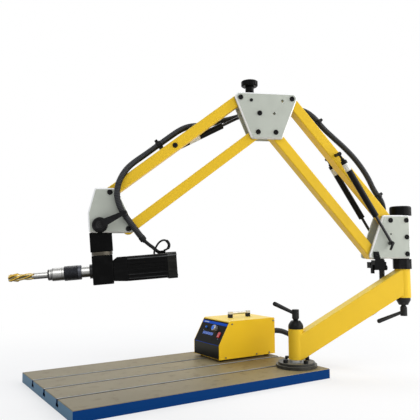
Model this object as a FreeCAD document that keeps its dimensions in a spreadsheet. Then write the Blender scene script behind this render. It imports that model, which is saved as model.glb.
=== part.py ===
import FreeCAD, Part
import math
import os
import Sketcher
from FreeCAD import Placement, Rotation, Vector

# Arm tapping machine on a T-slotted table, in millimetres.
#
# The table lies along X with its underside on the XY plane and the origin at its middle. The arm stands in
# an upright plane of its own, turned about the column by arm_turn. Every piece of the arm is drawn in that
# plane's frame: X along the arm away from the column, Y through the arm's thickness, Z up from the table's
# top face, with the column's axis as its origin.

SIZES = [
    # table
    ("table_length", 880), ("table_depth", 530), ("table_height", 32), ("table_bevel", 1.5),
    ("slot_pitch", 130), ("slot_width", 14), ("slot_throat", 12),
    ("slot_chamber", 24), ("slot_chamber_height", 9),
    # column and foot
    ("column_inset", 70), ("column_radius", 16), ("foot_radius", 70), ("foot_height", 10),
    ("foot_disc_radius", 62), ("foot_disc_height", 8), ("foot_bolt_circle", 48),
    ("column_collar_radius", 30), ("foot_bolt_radius", 5), ("foot_bolt_head", 8),
    ("foot_head_height", 10),
    # base arm
    ("arm_turn", 22.3), ("arm_reach", 403), ("sleeve_radius", 26), ("bush_wall", 3),
    ("base_sleeve_low", 26), ("base_sleeve_height", 102), ("post_sleeve_low", 226),
    ("post_sleeve_height", 101), ("arm_tube_height", 88), ("arm_tube_width", 50), ("arm_tube_wall", 4),
    ("running_gap", 0.05), ("seat_gap", 0.3),
    # clamp levers
    ("clamp_nut_radius", 25), ("clamp_nut_height", 26), ("clamp_hub_radius", 12), ("clamp_hub_height", 30),
    ("lever_reach", 73), ("lever_rise", 36), ("lever_radius", 5.5), ("lever_tip_radius", 7.5),
    # post and shoulder
    ("post_radius", 18), ("collar_radius", 31), ("collar_height", 35), ("cap_radius", 38),
    ("cap_height", 34), ("cap_round", 7), ("hub_reach_back", 28), ("hub_reach_front", 13),
    ("shoulder_pivot_back", 60), ("shoulder_pivot_height", 500), ("link_across", 60), ("link_drop", 119),
    ("shoulder_bolt_pitch", 59.5), ("plate_thickness", 12), ("plate_gap", 56), ("plate_corner", 9),
    ("plate_bevel", 4.5), ("shoulder_top_margin", 18), ("shoulder_left_margin", 27),
    ("shoulder_foot_margin", 20), ("shoulder_bottom_margin", 16), ("shoulder_right_margin", 14),
    ("screw_hole_radius", 3.5), ("open_hole_radius", 5),
    # links
    ("link_length", 550), ("right_link_angle", 50.1), ("left_link_angle", 37), ("beam_height", 36),
    ("beam_side_gap", 3), ("beam_wall", 5), ("beam_round", 4), ("pivot_radius", 7), ("boss_radius", 13),
    ("open_gap", 0.3),
    ("side_gap", 0.1), ("bolt_head_radius", 8.75), ("bolt_head_height", 5.5),
    ("hex_socket_radius", 4.4),
    # elbow
    ("elbow_span", 182.6), ("elbow_top_margin", 18.5), ("elbow_side_margin", 21),
    ("elbow_bottom_margin", 23), ("elbow_foot_margin", 23), ("elbow_rear_inset", 6), ("spacer_radius", 11),
    ("spacer_across", 66), ("spacer_drop", 53.5), ("knob_across", 41), ("knob_block_width", 26),
    ("knob_block_height", 24), ("knob_block_drop", 4), ("star_knob_radius", 29), ("star_knob_height", 22),
    ("star_knob_neck_radius", 15), ("star_knob_neck_height", 34), ("star_knob_lobes", 10),
    # gas springs
    ("gas_offset", 55), ("gas_cylinder_radius", 11), ("gas_bore_radius", 9), ("gas_rod_radius", 5),
    ("gas_gland_gap", 2.7), ("right_gas_along", 299), ("right_gas_back", 6), ("right_gas_drop", 81),
    ("left_gas_along", 281), ("left_gas_across", 19.5), ("left_gas_drop", 45), ("gas_eye_radius", 7),
    ("right_gas_cylinder_length", 224), ("left_gas_cylinder_length", 170), ("gas_eye_length", 28),
    # head
    ("tilt_back", 31), ("tilt_drop", 107), ("tilt_axle_radius", 10), ("head_lean", 4),
    ("tilt_hub_radius", 25), ("tilt_hub_height", 18), ("tilt_lever_reach", 95), ("tilt_lever_angle", 26),
    ("tilt_lever_thickness", 8), ("lever_hose_gap", 1.5), ("neck_width", 72), ("neck_side_gap", 0.5),
    ("block_round", 2.5),
    ("neck_shoulder", 22), ("neck_bottom", 86), ("neck_tang_radius", 27), ("ring_radius", 34),
    ("ring_height", 11), ("block_width", 66), ("block_depth", 80), ("block_height", 94),
    ("spindle_drop", 50), ("motor_side", 80), ("motor_flange_length", 46), ("motor_length", 130),
    ("motor_cap_length", 30), ("motor_cap_side", 86), ("motor_round", 6),
    # spindle and tool
    ("spindle_collar_radius", 23.5), ("spindle_collar_length", 9.7), ("spindle_radius", 17.5),
    ("spindle_length", 36), ("sleeve_travel", 6), ("chuck_radius", 23.7), ("chuck_length", 55),
    ("sleeve_overlap", 4), ("holder_radius", 21), ("holder_length", 51), ("holder_nose_radius", 18),
    ("holder_nose_length", 14), ("tap_shank_radius", 10), ("tap_shank_length", 47),
    ("tap_radius", 14), ("tap_length", 75), ("tap_flutes", 4), ("tap_flute_radius", 5),
    # control box
    ("box_rear_reach", 68), ("box_front_distance", 202), ("box_length", 253), ("box_depth", 176),
    ("box_height", 134), ("box_foot_height", 8), ("box_foot_radius", 10), ("box_slope_run", 47),
    ("box_fold_height", 51), ("box_wall", 2), ("box_round", 5), ("panel_thickness", 2.5),
    ("panel_top_gap", 7), ("box_handle_length", 96),
    ("box_handle_rise", 17), ("box_handle_radius", 5), ("selector_radius", 11), ("selector_height", 14),
    ("button_radius", 4), ("button_height", 5), ("button_travel", 2), ("rocker_length", 20),
    ("rocker_width", 14), ("rocker_height", 3), ("rocker_depth", 4),
    ("rocker_pin_radius", 1), ("gland_radius", 14), ("gland_length", 20),
    # hose
    ("hose_radius", 9.5), ("hose_front_gap", 4.5), ("hose_back_gap", 1.5), ("cable_radius", 6),
    ("loop_cable_radius", 3), ("clip_wall", 3),
    ("clip_length", 14), ("hose_stand_off", 52), ("left_stand_off", 36),
    ("right_clip_across", 30), ("loop_radius", 18),
    ("hanger_length", 38), ("hanger_depth", 28), ("hanger_height", 34), ("connector_length", 26),
    ("connector_width", 24), ("connector_height", 10), ("gland_along", 45), ("gland_up", 77),
]

doc = FreeCAD.newDocument("ArmTappingMachine")
sheet = doc.addObject("Spreadsheet::Sheet", "Sizes")
for row, (alias, amount) in enumerate(SIZES, start=1):
    sheet.set("A%d" % row, alias)
    sheet.set("B%d" % row, str(amount))
    sheet.setAlias("B%d" % row, alias)
doc.recompute()


class Dim:
    """A size that knows its value now and the expression that keeps it bound to the sheet."""

    def __init__(self, value, text):
        self.value = float(value)
        self.text = text

    @staticmethod
    def of(other):
        if isinstance(other, Dim):
            return other
        return Dim(other, "(%.6g)" % other)

    def join(self, other, sign, value):
        return Dim(value, "(%s %s %s)" % (self.text, sign, other.text))

    def __add__(self, other):
        other = Dim.of(other)
        return self.join(other, "+", self.value + other.value)

    def __sub__(self, other):
        other = Dim.of(other)
        return self.join(other, "-", self.value - other.value)

    def __mul__(self, other):
        other = Dim.of(other)
        return self.join(other, "*", self.value * other.value)

    def __truediv__(self, other):
        other = Dim.of(other)
        return self.join(other, "/", self.value / other.value)

    def __radd__(self, other):
        return Dim.of(other) + self

    def __rsub__(self, other):
        return Dim.of(other) - self

    def __rmul__(self, other):
        return Dim.of(other) * self

    def __neg__(self):
        return Dim.of(0) - self

    def __float__(self):
        return self.value


def cosine(angle):
    angle = Dim.of(angle)
    return Dim(math.cos(math.radians(angle.value)), "cos(%s * 1 deg)" % angle.text)


def sine(angle):
    angle = Dim.of(angle)
    return Dim(math.sin(math.radians(angle.value)), "sin(%s * 1 deg)" % angle.text)


class Sizes:
    """The sheet's aliases as Dims."""

    def __getattr__(self, alias):
        return Dim(sheet.get(alias), "Sizes.%s" % alias)


S = Sizes()
ZERO = Dim.of(0)

# Places worked out from the sizes, all in the arm's frame.
PLATE_INNER = S.plate_gap / 2
PLATE_OUTER = PLATE_INNER + S.plate_thickness
BEAM_WIDTH = S.plate_gap - S.beam_side_gap * 2
NECK_DEPTH = S.plate_gap - S.neck_side_gap * 2
SHOULDER_TOP = (S.arm_reach - S.shoulder_pivot_back, S.shoulder_pivot_height)
SHOULDER_LOW = (SHOULDER_TOP[0] - S.link_across, SHOULDER_TOP[1] - S.link_drop)
ELBOW_RIGHT = (SHOULDER_TOP[0] - S.link_length * cosine(S.right_link_angle),
               SHOULDER_TOP[1] + S.link_length * sine(S.right_link_angle))
ELBOW_RIGHT_LOW = (ELBOW_RIGHT[0] - S.link_across, ELBOW_RIGHT[1] - S.link_drop)
ELBOW_LEFT = (ELBOW_RIGHT[0] - S.elbow_span, ELBOW_RIGHT[1])
ELBOW_LEFT_LOW = (ELBOW_LEFT[0] + S.link_across, ELBOW_LEFT[1] - S.link_drop)
HEAD_TOP = (ELBOW_LEFT[0] - S.link_length * cosine(S.left_link_angle),
            ELBOW_LEFT[1] - S.link_length * sine(S.left_link_angle))
HEAD_LOW = (HEAD_TOP[0] + S.link_across, HEAD_TOP[1] - S.link_drop)
TILT = (HEAD_TOP[0] - S.tilt_back, HEAD_TOP[1] - S.tilt_drop)
COLUMN_X = S.table_length / 2 - S.column_inset
COLUMN_Y = -(S.slot_pitch + S.foot_bolt_circle)
FOOT_TOP = S.foot_height + S.foot_disc_height
SLEEVE_TOP = S.base_sleeve_low + S.base_sleeve_height
POST_SLEEVE_TOP = S.post_sleeve_low + S.post_sleeve_height
SHOULDER_PLATE_TOP = SHOULDER_TOP[1] + S.shoulder_top_margin
SHOULDER_PLATE_LOW = SHOULDER_LOW[1] - S.shoulder_bottom_margin
SPINDLE_AXIS = S.neck_bottom + S.ring_height + S.spindle_drop
BLOCK_TOP = S.neck_bottom + S.ring_height
HOSE_BACK = PLATE_OUTER + S.hose_radius + S.hose_back_gap
FRONT_RUN = -(PLATE_OUTER + S.hose_radius + S.hose_front_gap)
TILT_ARM_BACK = FRONT_RUN - S.hose_radius - S.lever_hose_gap

ARM = Placement(Vector(float(COLUMN_X), float(COLUMN_Y), float(S.table_height)),
                Rotation(Vector(0, 0, 1), -float(S.arm_turn)))
HEAD = ARM.multiply(Placement(Vector(float(TILT[0]), 0, float(TILT[1])),
                              Rotation(Vector(0, 1, 0), -float(S.head_lean))))
HOME = Placement()
nodes = []


# ---------------------------------------------------------------- building blocks

def bind(obj, path, size):
    """Tie one property to the sheet, or set it where the size is a plain number."""
    if isinstance(size, Dim):
        obj.setExpression(path, size.text)
    else:
        setattr(obj, path, size)


def turn(axis, degrees):
    return Rotation(Vector(*axis), float(degrees))


UPRIGHT = turn((0, 0, 1), 0)
BACKWARD = turn((1, 0, 0), -90)
FORWARD = turn((1, 0, 0), 90)
RIGHTWARD = turn((0, 1, 0), 90)
LEFTWARD = turn((0, 1, 0), -90)


def place(obj, x=0, y=0, z=0, rotation=UPRIGHT):
    obj.Placement = Placement(Vector(float(x), float(y), float(z)), rotation)
    for axis, size in (("x", x), ("y", y), ("z", z)):
        if isinstance(size, Dim):
            obj.setExpression("Placement.Base.%s" % axis, size.text)
    return obj


def cylinder(name, radius, height, x=0, y=0, z=0, rotation=UPRIGHT):
    obj = doc.addObject("Part::Cylinder", name)
    bind(obj, "Radius", radius)
    bind(obj, "Height", height)
    return place(obj, x, y, z, rotation)


def cone(name, low_radius, high_radius, height, x=0, y=0, z=0, rotation=UPRIGHT):
    obj = doc.addObject("Part::Cone", name)
    bind(obj, "Radius1", low_radius)
    bind(obj, "Radius2", high_radius)
    bind(obj, "Height", height)
    return place(obj, x, y, z, rotation)


def ball(name, radius, x=0, y=0, z=0):
    obj = doc.addObject("Part::Sphere", name)
    bind(obj, "Radius", radius)
    return place(obj, x, y, z)


def box(name, length, width, height, x=0, y=0, z=0, rotation=UPRIGHT):
    """A box centred on x and y that stands on z."""
    obj = doc.addObject("Part::Box", name)
    bind(obj, "Length", length)
    bind(obj, "Width", width)
    bind(obj, "Height", height)
    return place(obj, x - Dim.of(length) / 2, y - Dim.of(width) / 2, Dim.of(z), rotation)


def fuse(name, *pieces):
    obj = doc.addObject("Part::MultiFuse", name)
    obj.Shapes = list(pieces)
    return obj


def cut(name, base, *tools):
    obj = doc.addObject("Part::Cut", name)
    obj.Base = base
    obj.Tool = tools[0] if len(tools) == 1 else fuse(name + "_tools", *tools)
    return obj


def group(name, *pieces):
    obj = doc.addObject("Part::Compound", name)
    obj.Links = list(pieces)
    return obj


def node(label, obj, frame):
    """Make obj the piece that is written to parts/<label>.step, standing in the given frame."""
    obj.Label = label
    obj.Placement = frame
    nodes.append(obj)
    return obj


def sketch_on(body, plane, offset=ZERO):
    """A sketch on one of the body's own origin planes, offset along the plane's normal."""
    sketch = body.newObject("Sketcher::SketchObject", body.Name + "_outline")
    origin = [f for f in body.Origin.OriginFeatures if f.Role == plane][0]
    sketch.AttachmentSupport = [(origin, "")]
    sketch.MapMode = "FlatFace"
    if offset is not ZERO:
        sketch.setExpression("AttachmentOffset.Base.z", Dim.of(offset).text)
    return sketch


def pin_point(sketch, index, corner, across, up):
    """Hold one end or centre of a sketch element at a place that follows the sheet."""
    for kind, size in (("DistanceX", across), ("DistanceY", up)):
        number = sketch.addConstraint(Sketcher.Constraint(kind, -1, 1, index, corner, float(size)))
        if isinstance(size, Dim):
            sketch.setExpression("Constraints[%d]" % number, size.text)


def polygon(sketch, points):
    """A closed outline through (across, up) points."""
    first = sketch.GeometryCount
    corners = [Vector(float(a), float(b), 0) for a, b in points]
    count = len(corners)
    for i, corner in enumerate(corners):
        sketch.addGeometry(Part.LineSegment(corner, corners[(i + 1) % count]), False)
    for i in range(count):
        following = first + (i + 1) % count
        sketch.addConstraint(Sketcher.Constraint("Coincident", first + i, 2, following, 1))
        pin_point(sketch, first + i, 1, *points[i])


def circle(sketch, across, up, radius):
    centre = Vector(float(across), float(up), 0)
    index = sketch.addGeometry(Part.Circle(centre, Vector(0, 0, 1), float(radius)), False)
    number = sketch.addConstraint(Sketcher.Constraint("Radius", index, float(radius)))
    if isinstance(radius, Dim):
        sketch.setExpression("Constraints[%d]" % number, radius.text)
    pin_point(sketch, index, 3, across, up)


def dress(body, kind, size, picks):
    """Round or bevel the edges of a body's tip that the test picks."""
    doc.recompute()
    base = body.Tip
    names = ["Edge%d" % (i + 1) for i, edge in enumerate(base.Shape.Edges) if picks(edge)]
    feature = body.newObject("PartDesign::" + kind, body.Name + "_" + kind.lower())
    feature.Base = (base, names)
    bind(feature, "Radius" if kind == "Fillet" else "Size", size)
    doc.recompute()
    body.Tip = feature


def slab(name, outline, thickness, front, holes=()):
    """A plate in the arm's upright plane: outline and holes in X and Z, from Y = front backwards."""
    body = doc.addObject("PartDesign::Body", name)
    sketch = sketch_on(body, "XZ_Plane", -Dim.of(front))
    polygon(sketch, outline)
    for across, up, radius in holes:
        circle(sketch, across, up, radius)
    pad = body.newObject("PartDesign::Pad", name + "_pad")
    pad.Profile = sketch
    pad.Reversed = True
    bind(pad, "Length", thickness)
    body.Tip = pad
    return body


def rounded_block(name, length, width, height, x, z, radius):
    """A block with all its edges rounded, centred on x and on Y = 0, that stands on z."""
    left, right = x - length / 2, x + length / 2
    outline = [(left, z), (right, z), (right, z + height), (left, z + height)]
    body = slab(name, outline, width, -width / 2)
    dress(body, "Fillet", radius, any_edge)
    return body


def turned(name, profile, x=0, y=0, z=0, rotation=UPRIGHT):
    """A round piece: its half outline as (radius, height) points, revolved about its own Z axis."""
    body = doc.addObject("PartDesign::Body", name)
    sketch = sketch_on(body, "XZ_Plane")
    polygon(sketch, profile)
    spin = body.newObject("PartDesign::Revolution", name + "_revolved")
    spin.Profile = sketch
    spin.ReferenceAxis = (sketch, ["V_Axis"])
    spin.Angle = 360
    body.Tip = spin
    return place(body, x, y, z, rotation)


def runs_through(edge):
    """True for a straight edge square to the arm's plane."""
    if not isinstance(edge.Curve, Part.Line):
        return False
    return abs(edge.Curve.Direction.y) > 0.99


def runs_along(edge):
    """True for a straight edge that runs mostly along X."""
    return isinstance(edge.Curve, Part.Line) and abs(edge.Curve.Direction.x) > 0.7


def any_edge(edge):
    return True


def rounded_wire(points):
    """Straight runs joined by tangent arcs; each arc uses 0.45 of the shorter run beside it."""
    corners = [Vector(*p) for p in points]
    edges, radii = [], []
    at = corners[0]
    for before, corner, after in zip(corners, corners[1:], corners[2:]):
        reach = 0.45 * min((corner - before).Length, (after - corner).Length)
        back, on = (before - corner).normalize(), (after - corner).normalize()
        half = (math.pi - back.getAngle(on)) / 2
        radius = reach / math.tan(half)
        radii.append(radius)
        start, end = corner + back * reach, corner + on * reach
        inward = (back + on).normalize()
        top = corner + inward * (radius / math.cos(half) - radius)
        edges.append(Part.LineSegment(at, start).toShape())
        edges.append(Part.Arc(start, top, end).toShape())
        at = end
    edges.append(Part.LineSegment(at, corners[-1]).toShape())
    return Part.Wire(edges), radii


def tube(name, points, radius):
    """A cord's solid along its rounded route; its size is checked against section times length."""
    wire, radii = rounded_wire(points)
    heading = Vector(*points[1]) - Vector(*points[0])
    section = Part.Wire(Part.makeCircle(float(radius), Vector(*points[0]), heading))
    shape = wire.makePipeShell([section], True, False)
    obj = doc.addObject("Part::Feature", name)
    obj.Shape = shape
    expected = math.pi * float(radius) ** 2 * wire.Length
    print("%s: length %.0f, volume ratio %.4f, arc radii %s"
          % (name, wire.Length, shape.Volume / expected, [round(r) for r in radii]))
    return obj


# ---------------------------------------------------------------- table and foot

def make_table():
    body = doc.addObject("PartDesign::Body", "Table")
    sketch = sketch_on(body, "XY_Plane")
    half_x, half_y = S.table_length / 2, S.table_depth / 2
    polygon(sketch, [(-half_x, -half_y), (half_x, -half_y), (half_x, half_y), (-half_x, half_y)])
    pad = body.newObject("PartDesign::Pad", "Table_pad")
    pad.Profile = sketch
    bind(pad, "Length", S.table_height)
    body.Tip = pad
    dress(body, "Chamfer", S.table_bevel, lambda e: all(
        abs(v.Z - float(S.table_height)) < 0.01 for v in e.Vertexes))
    slots = body.newObject("Sketcher::SketchObject", "Table_slots")
    plane = [f for f in body.Origin.OriginFeatures if f.Role == "YZ_Plane"][0]
    slots.AttachmentSupport = [(plane, "")]
    slots.MapMode = "FlatFace"
    throat, chamber = S.slot_width / 2, S.slot_chamber / 2
    for row in (-1, 0, 1):
        mid = S.slot_pitch * row
        lip = S.table_height - S.slot_throat
        floor = lip - S.slot_chamber_height
        polygon(slots, [
            (mid - throat, S.table_height + 1), (mid - throat, lip), (mid - chamber, lip),
            (mid - chamber, floor), (mid + chamber, floor), (mid + chamber, lip), (mid + throat, lip),
            (mid + throat, S.table_height + 1)])
    pocket = body.newObject("PartDesign::Pocket", "Table_slot_cut")
    pocket.Profile = slots
    pocket.Type = "ThroughAll"
    pocket.Midplane = True
    body.Tip = pocket
    holes = body.newObject("Sketcher::SketchObject", "Table_holes")
    plane = [f for f in body.Origin.OriginFeatures if f.Role == "XY_Plane"][0]
    holes.AttachmentSupport = [(plane, "")]
    holes.MapMode = "FlatFace"
    holes.setExpression("AttachmentOffset.Base.z", S.table_height.text)
    for across, along in ((-1, 0), (0, -1), (1, 0)):
        circle(holes, COLUMN_X + S.foot_bolt_circle * across, COLUMN_Y + S.foot_bolt_circle * along,
               S.foot_bolt_radius + S.running_gap)
    drill = body.newObject("PartDesign::Pocket", "Table_hole_cut")
    drill.Profile = holes
    bind(drill, "Length", S.slot_throat + S.slot_chamber_height)
    body.Tip = drill
    node("table", body, HOME)


def foot_places():
    return [(-1, 0), (0, -1), (1, 0), (0, 1)]


def make_foot():
    """Round foot of two stacked discs and a collar, its four screws and the T-nut of the rear one."""
    disc = turned("FootDisc", [
        (S.column_radius, 0), (S.foot_radius, 0), (S.foot_radius, S.foot_height),
        (S.foot_disc_radius, S.foot_height), (S.foot_disc_radius, FOOT_TOP),
        (S.column_collar_radius, FOOT_TOP), (S.column_collar_radius, S.base_sleeve_low - S.seat_gap),
        (S.column_radius, S.base_sleeve_low - S.seat_gap)])
    holes = []
    screws = []
    shank = S.slot_throat + FOOT_TOP
    for number, (across, along) in enumerate(foot_places()):
        x, y = S.foot_bolt_circle * across, S.foot_bolt_circle * along
        holes.append(cylinder("FootHole%d" % number, S.foot_bolt_radius + S.running_gap,
                              FOOT_TOP + 2, x, y, -1))
        stem = cylinder("FootScrew%d" % number, S.foot_bolt_radius, shank, x, y, -S.slot_throat)
        head = cylinder("FootScrewHead%d" % number, S.foot_bolt_head, S.foot_head_height, x, y, FOOT_TOP)
        socket = place(hex_socket("FootSocket%d" % number, S.foot_head_height), x, y,
                       FOOT_TOP + S.foot_head_height * 0.5)
        screws.append(cut("FootBolt%d" % number, fuse("FootBoltBlank%d" % number, stem, head), socket))
    frame = Placement(ARM.Base, Rotation())
    node("base_flange", cut("Foot", disc, *holes), frame)
    rear_y = S.foot_bolt_circle
    slab_y = S.slot_chamber - S.seat_gap * 2
    nut_block = box("TeeNutBlock", S.slot_chamber, slab_y, S.slot_chamber_height - S.seat_gap, 0, rear_y,
                    -S.slot_throat - S.slot_chamber_height + S.seat_gap)
    nut_hole = cylinder("TeeNutHole", S.foot_bolt_radius, S.slot_throat, 0, rear_y, -S.slot_throat)
    nut = cut("TeeNut", nut_block, nut_hole)
    node("flange_bolts", group("FootFasteners", *screws, nut), frame)


def make_column():
    top = SLEEVE_TOP + S.seat_gap
    shaft = turned("Column", [
        (0, 0), (S.column_radius, 0), (S.column_radius, top), (S.clamp_hub_radius / 2, top),
        (S.clamp_hub_radius / 2, top + S.clamp_nut_height - 4), (0, top + S.clamp_nut_height - 4)])
    node("base_column", shaft, ARM)


# ---------------------------------------------------------------- base arm and its clamps

def make_base_arm():
    """A box arm that rises from the column's sleeve to the post's sleeve."""
    near, far, end = S.column_radius, S.arm_reach - S.post_radius, S.arm_reach
    low_left = S.base_sleeve_low
    low_right = S.post_sleeve_low + 5
    top_left = low_left + S.arm_tube_height
    top_right = POST_SLEEVE_TOP - 3
    outline = [(ZERO, low_left), (near, low_left), (far, low_right), (end, low_right),
               (end, top_right), (far, top_right), (near, top_left), (ZERO, top_left)]
    rib = S.arm_tube_wall * 1.15
    hollow = [(near - 1, low_left + rib), (far + 1, low_right + rib),
              (far + 1, top_right - rib), (near - 1, top_left - rib)]
    skin = slab("ArmTube", outline, S.arm_tube_width, -S.arm_tube_width / 2)
    dress(skin, "Fillet", S.beam_round, runs_along)
    core_width = S.arm_tube_width - S.arm_tube_wall * 2
    core = slab("ArmHollow", hollow, core_width, -core_width / 2)
    shell = cut("ArmShell", skin, core)
    base_sleeve = cylinder("BaseSleeve", S.sleeve_radius, S.base_sleeve_height, 0, 0, S.base_sleeve_low)
    post_sleeve = cylinder("PostSleeve", S.sleeve_radius + 1, S.post_sleeve_height, S.arm_reach, 0,
                           S.post_sleeve_low)
    welded = fuse("ArmWelded", shell, base_sleeve, post_sleeve)
    base_bore = cylinder("BaseBore", S.column_radius + S.bush_wall, S.base_sleeve_height + 2, 0, 0,
                         S.base_sleeve_low - 1)
    post_bore = cylinder("PostBore", S.post_radius + S.bush_wall, S.post_sleeve_height + 2, S.arm_reach, 0,
                         S.post_sleeve_low - 1)
    node("base_arm", cut("BaseArm", welded, base_bore, post_bore), ARM)
    bushes = []
    for name, x, shaft, low, height in (
            ("Base", ZERO, S.column_radius, S.base_sleeve_low, S.base_sleeve_height),
            ("Post", S.arm_reach, S.post_radius, S.post_sleeve_low, S.post_sleeve_height)):
        length = height / 3
        for end, z in (("Low", low), ("High", low + height - length)):
            inner, outer = shaft + S.running_gap, shaft + S.bush_wall
            bushes.append(turned("%sBush%s" % (name, end), [
                (inner, 0), (outer, 0), (outer, length), (inner, length)], x, 0, z))
    node("base_arm_bushes", group("Bushes", *bushes), ARM)


def clamp_handle(name, x, z, way, reach, drop):
    """A clamp nut with its hub and bent lever; way is 1 above a sleeve and -1 below it."""
    shaft = S.clamp_hub_radius / 2 + S.running_gap
    stud = S.clamp_nut_height - 4
    nut = turned(name + "Nut", [
        (0, stud), (shaft, stud), (shaft, 0), (S.clamp_nut_radius, 0),
        (S.clamp_nut_radius, S.clamp_nut_height * 0.35), (S.clamp_nut_radius - 9, S.clamp_nut_height),
        (0, S.clamp_nut_height)])
    neck = cone(name + "Neck", S.clamp_hub_radius * 0.55, S.clamp_hub_radius, 10, 0, 0,
                S.clamp_nut_height)
    hub_z = S.clamp_nut_height + 9
    hub = cylinder(name + "Hub", S.clamp_hub_radius, S.clamp_hub_height, 0, 0, hub_z)
    start = Vector(0, 0, float(hub_z) + float(S.clamp_hub_height) / 2)
    end = Vector(-float(reach), 0, start.z + float(drop))
    lean = Rotation(Vector(0, 0, 1), end - start)
    length = ((reach * reach) + (Dim.of(drop) * drop))
    rod = doc.addObject("Part::Cone", name + "Rod")
    bind(rod, "Radius1", S.lever_radius)
    bind(rod, "Radius2", S.lever_tip_radius)
    rod.setExpression("Height", "sqrt(%s)" % length.text)
    rod.Placement = Placement(start, lean)
    tip = ball(name + "Tip", S.lever_tip_radius, end.x, end.y, end.z)
    handle = fuse(name + "Lever", hub, neck, rod, tip)
    both = group(name + "Clamp", nut, handle)
    flip = Rotation() if way > 0 else Rotation(Vector(1, 0, 0), 180)
    both_frame = ARM.multiply(Placement(Vector(float(x), 0, float(z)), flip))
    return both, both_frame


def make_clamps():
    base, frame = clamp_handle("Base", ZERO, SLEEVE_TOP + S.seat_gap, 1, S.lever_reach, S.lever_rise)
    node("base_clamp_lever", base, frame)
    post, frame = clamp_handle("Post", S.arm_reach, S.post_sleeve_low - S.seat_gap, -1,
                               S.lever_reach + 22, S.lever_rise - 5)
    node("post_clamp_lever", post, frame)


# ---------------------------------------------------------------- shoulder

def make_post():
    low = S.post_sleeve_low - S.seat_gap
    stud = S.clamp_hub_radius / 2
    foot = low - S.clamp_nut_height + 4
    shaft = turned("Post", [
        (0, foot), (stud, foot), (stud, low), (S.post_radius, low), (S.post_radius, SHOULDER_PLATE_TOP),
        (0, SHOULDER_PLATE_TOP)], S.arm_reach)
    node("swivel_post", group("PostShaft", shaft), ARM)
    collar_low = POST_SLEEVE_TOP + S.seat_gap
    sides = 8
    prism = doc.addObject("Part::Prism", "CollarPrism")
    prism.Polygon = sides
    prism.setExpression("Circumradius", (S.collar_radius / math.cos(math.pi / sides)).text)
    bind(prism, "Height", S.collar_height)
    place(prism, S.arm_reach, 0, collar_low)
    bore = cylinder("CollarBore", S.post_radius, S.collar_height + 2, S.arm_reach, 0, collar_low - 1)
    node("post_collar", cut("Collar", prism, bore), ARM)


def make_shoulder_hub():
    low = POST_SLEEVE_TOP + S.seat_gap + S.collar_height
    height = SHOULDER_PLATE_TOP - low
    width = S.hub_reach_back + S.hub_reach_front
    middle = S.arm_reach + (S.hub_reach_front - S.hub_reach_back) / 2
    block = box("HubBlock", width, S.plate_gap, height, middle, 0, low)
    bore = cylinder("HubBore", S.post_radius, height + 2, S.arm_reach, 0, low - 1)
    screws = []
    for number, (side, x, z) in enumerate(hub_screw_places()):
        screws.append(pin("HubScrewHole%d" % number, S.pivot_radius - 2, x, z, side,
                          PLATE_INNER - hub_screw_depth(), PLATE_INNER + 1))
    node("shoulder_hub", cut("Hub", block, bore, *screws), ARM)


def hub_screw_depth():
    return PLATE_INNER - S.post_radius - 1


def hub_screw_places():
    rows = [SHOULDER_TOP[1] - S.shoulder_bolt_pitch * i for i in range(3)]
    return [(side, S.arm_reach, z) for side in (-1, 1) for z in rows]


def pin(name, radius, x, z, side, near, far):
    """A cylinder along Y on one side of the arm, from near to far off its middle plane."""
    y = near * side
    return cylinder(name, radius, far - near, x, y, z, BACKWARD if side > 0 else FORWARD)


def plate(name, label, outline, holes, side):
    front = -PLATE_OUTER if side < 0 else PLATE_INNER
    body = slab(name, outline, S.plate_thickness, front, holes)
    dress(body, "Fillet", S.plate_corner, runs_through)
    face = -PLATE_OUTER if side < 0 else PLATE_OUTER
    dress(body, "Chamfer", S.plate_bevel, outer_rim(face))
    node(label, body, ARM)


def outer_rim(face):
    """The edges of a plate's outline on its outer face, without its round holes."""
    def picks(edge):
        if any(abs(v.Y - float(face)) > 0.01 for v in edge.Vertexes):
            return False
        return len(edge.Vertexes) == 2
    return picks


def make_shoulder_plates():
    right = S.arm_reach + S.shoulder_right_margin
    outline = [
        (SHOULDER_LOW[0] - S.shoulder_foot_margin, SHOULDER_PLATE_LOW), (right, SHOULDER_PLATE_LOW),
        (right, SHOULDER_PLATE_TOP), (SHOULDER_TOP[0] - S.shoulder_left_margin, SHOULDER_PLATE_TOP),
        (SHOULDER_LOW[0] - S.shoulder_foot_margin, SHOULDER_LOW[1])]
    holes = [(x, z, S.pivot_radius) for x, z in (SHOULDER_TOP, SHOULDER_LOW)]
    holes += [(S.arm_reach, SHOULDER_TOP[1] - S.shoulder_bolt_pitch * i, S.pivot_radius - 2)
              for i in range(3)]
    holes += [(SHOULDER_TOP[0], SHOULDER_TOP[1] - 49, S.screw_hole_radius)]
    holes += [(SHOULDER_TOP[0] - S.right_gas_back, SHOULDER_TOP[1] - S.right_gas_drop, S.gas_rod_radius)]
    plate("ShoulderFront", "shoulder_plate_front", outline, holes, -1)
    plate("ShoulderRear", "shoulder_plate_rear", outline, holes, 1)


def through_bolt(name, x, z, front_seat=PLATE_OUTER):
    """A pivot bolt through both plates with a head on each side."""
    shank = cylinder(name + "Shank", S.pivot_radius, PLATE_OUTER + front_seat, x, -front_seat, z, BACKWARD)
    heads = [button_head(name + "Front", x, z, -1, front_seat), button_head(name + "Rear", x, z, 1)]
    return fuse(name, shank, *heads)


def button_head(name, x, z, side, seat=PLATE_OUTER):
    """A domed screw head with a hexagon socket, on a plate's outer face."""
    radius, height = S.bolt_head_radius, S.bolt_head_height
    dome = turned(name + "Dome", [
        (0, 0), (radius, 0), (radius, height * 0.4), (radius * 0.85, height * 0.8),
        (radius * 0.6, height), (0, height)])
    socket = place(hex_socket(name + "Socket", height), 0, 0, height * 0.4)
    head = cut(name, dome, socket)
    return place(head, x, seat * side, z, BACKWARD if side > 0 else FORWARD)


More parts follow.
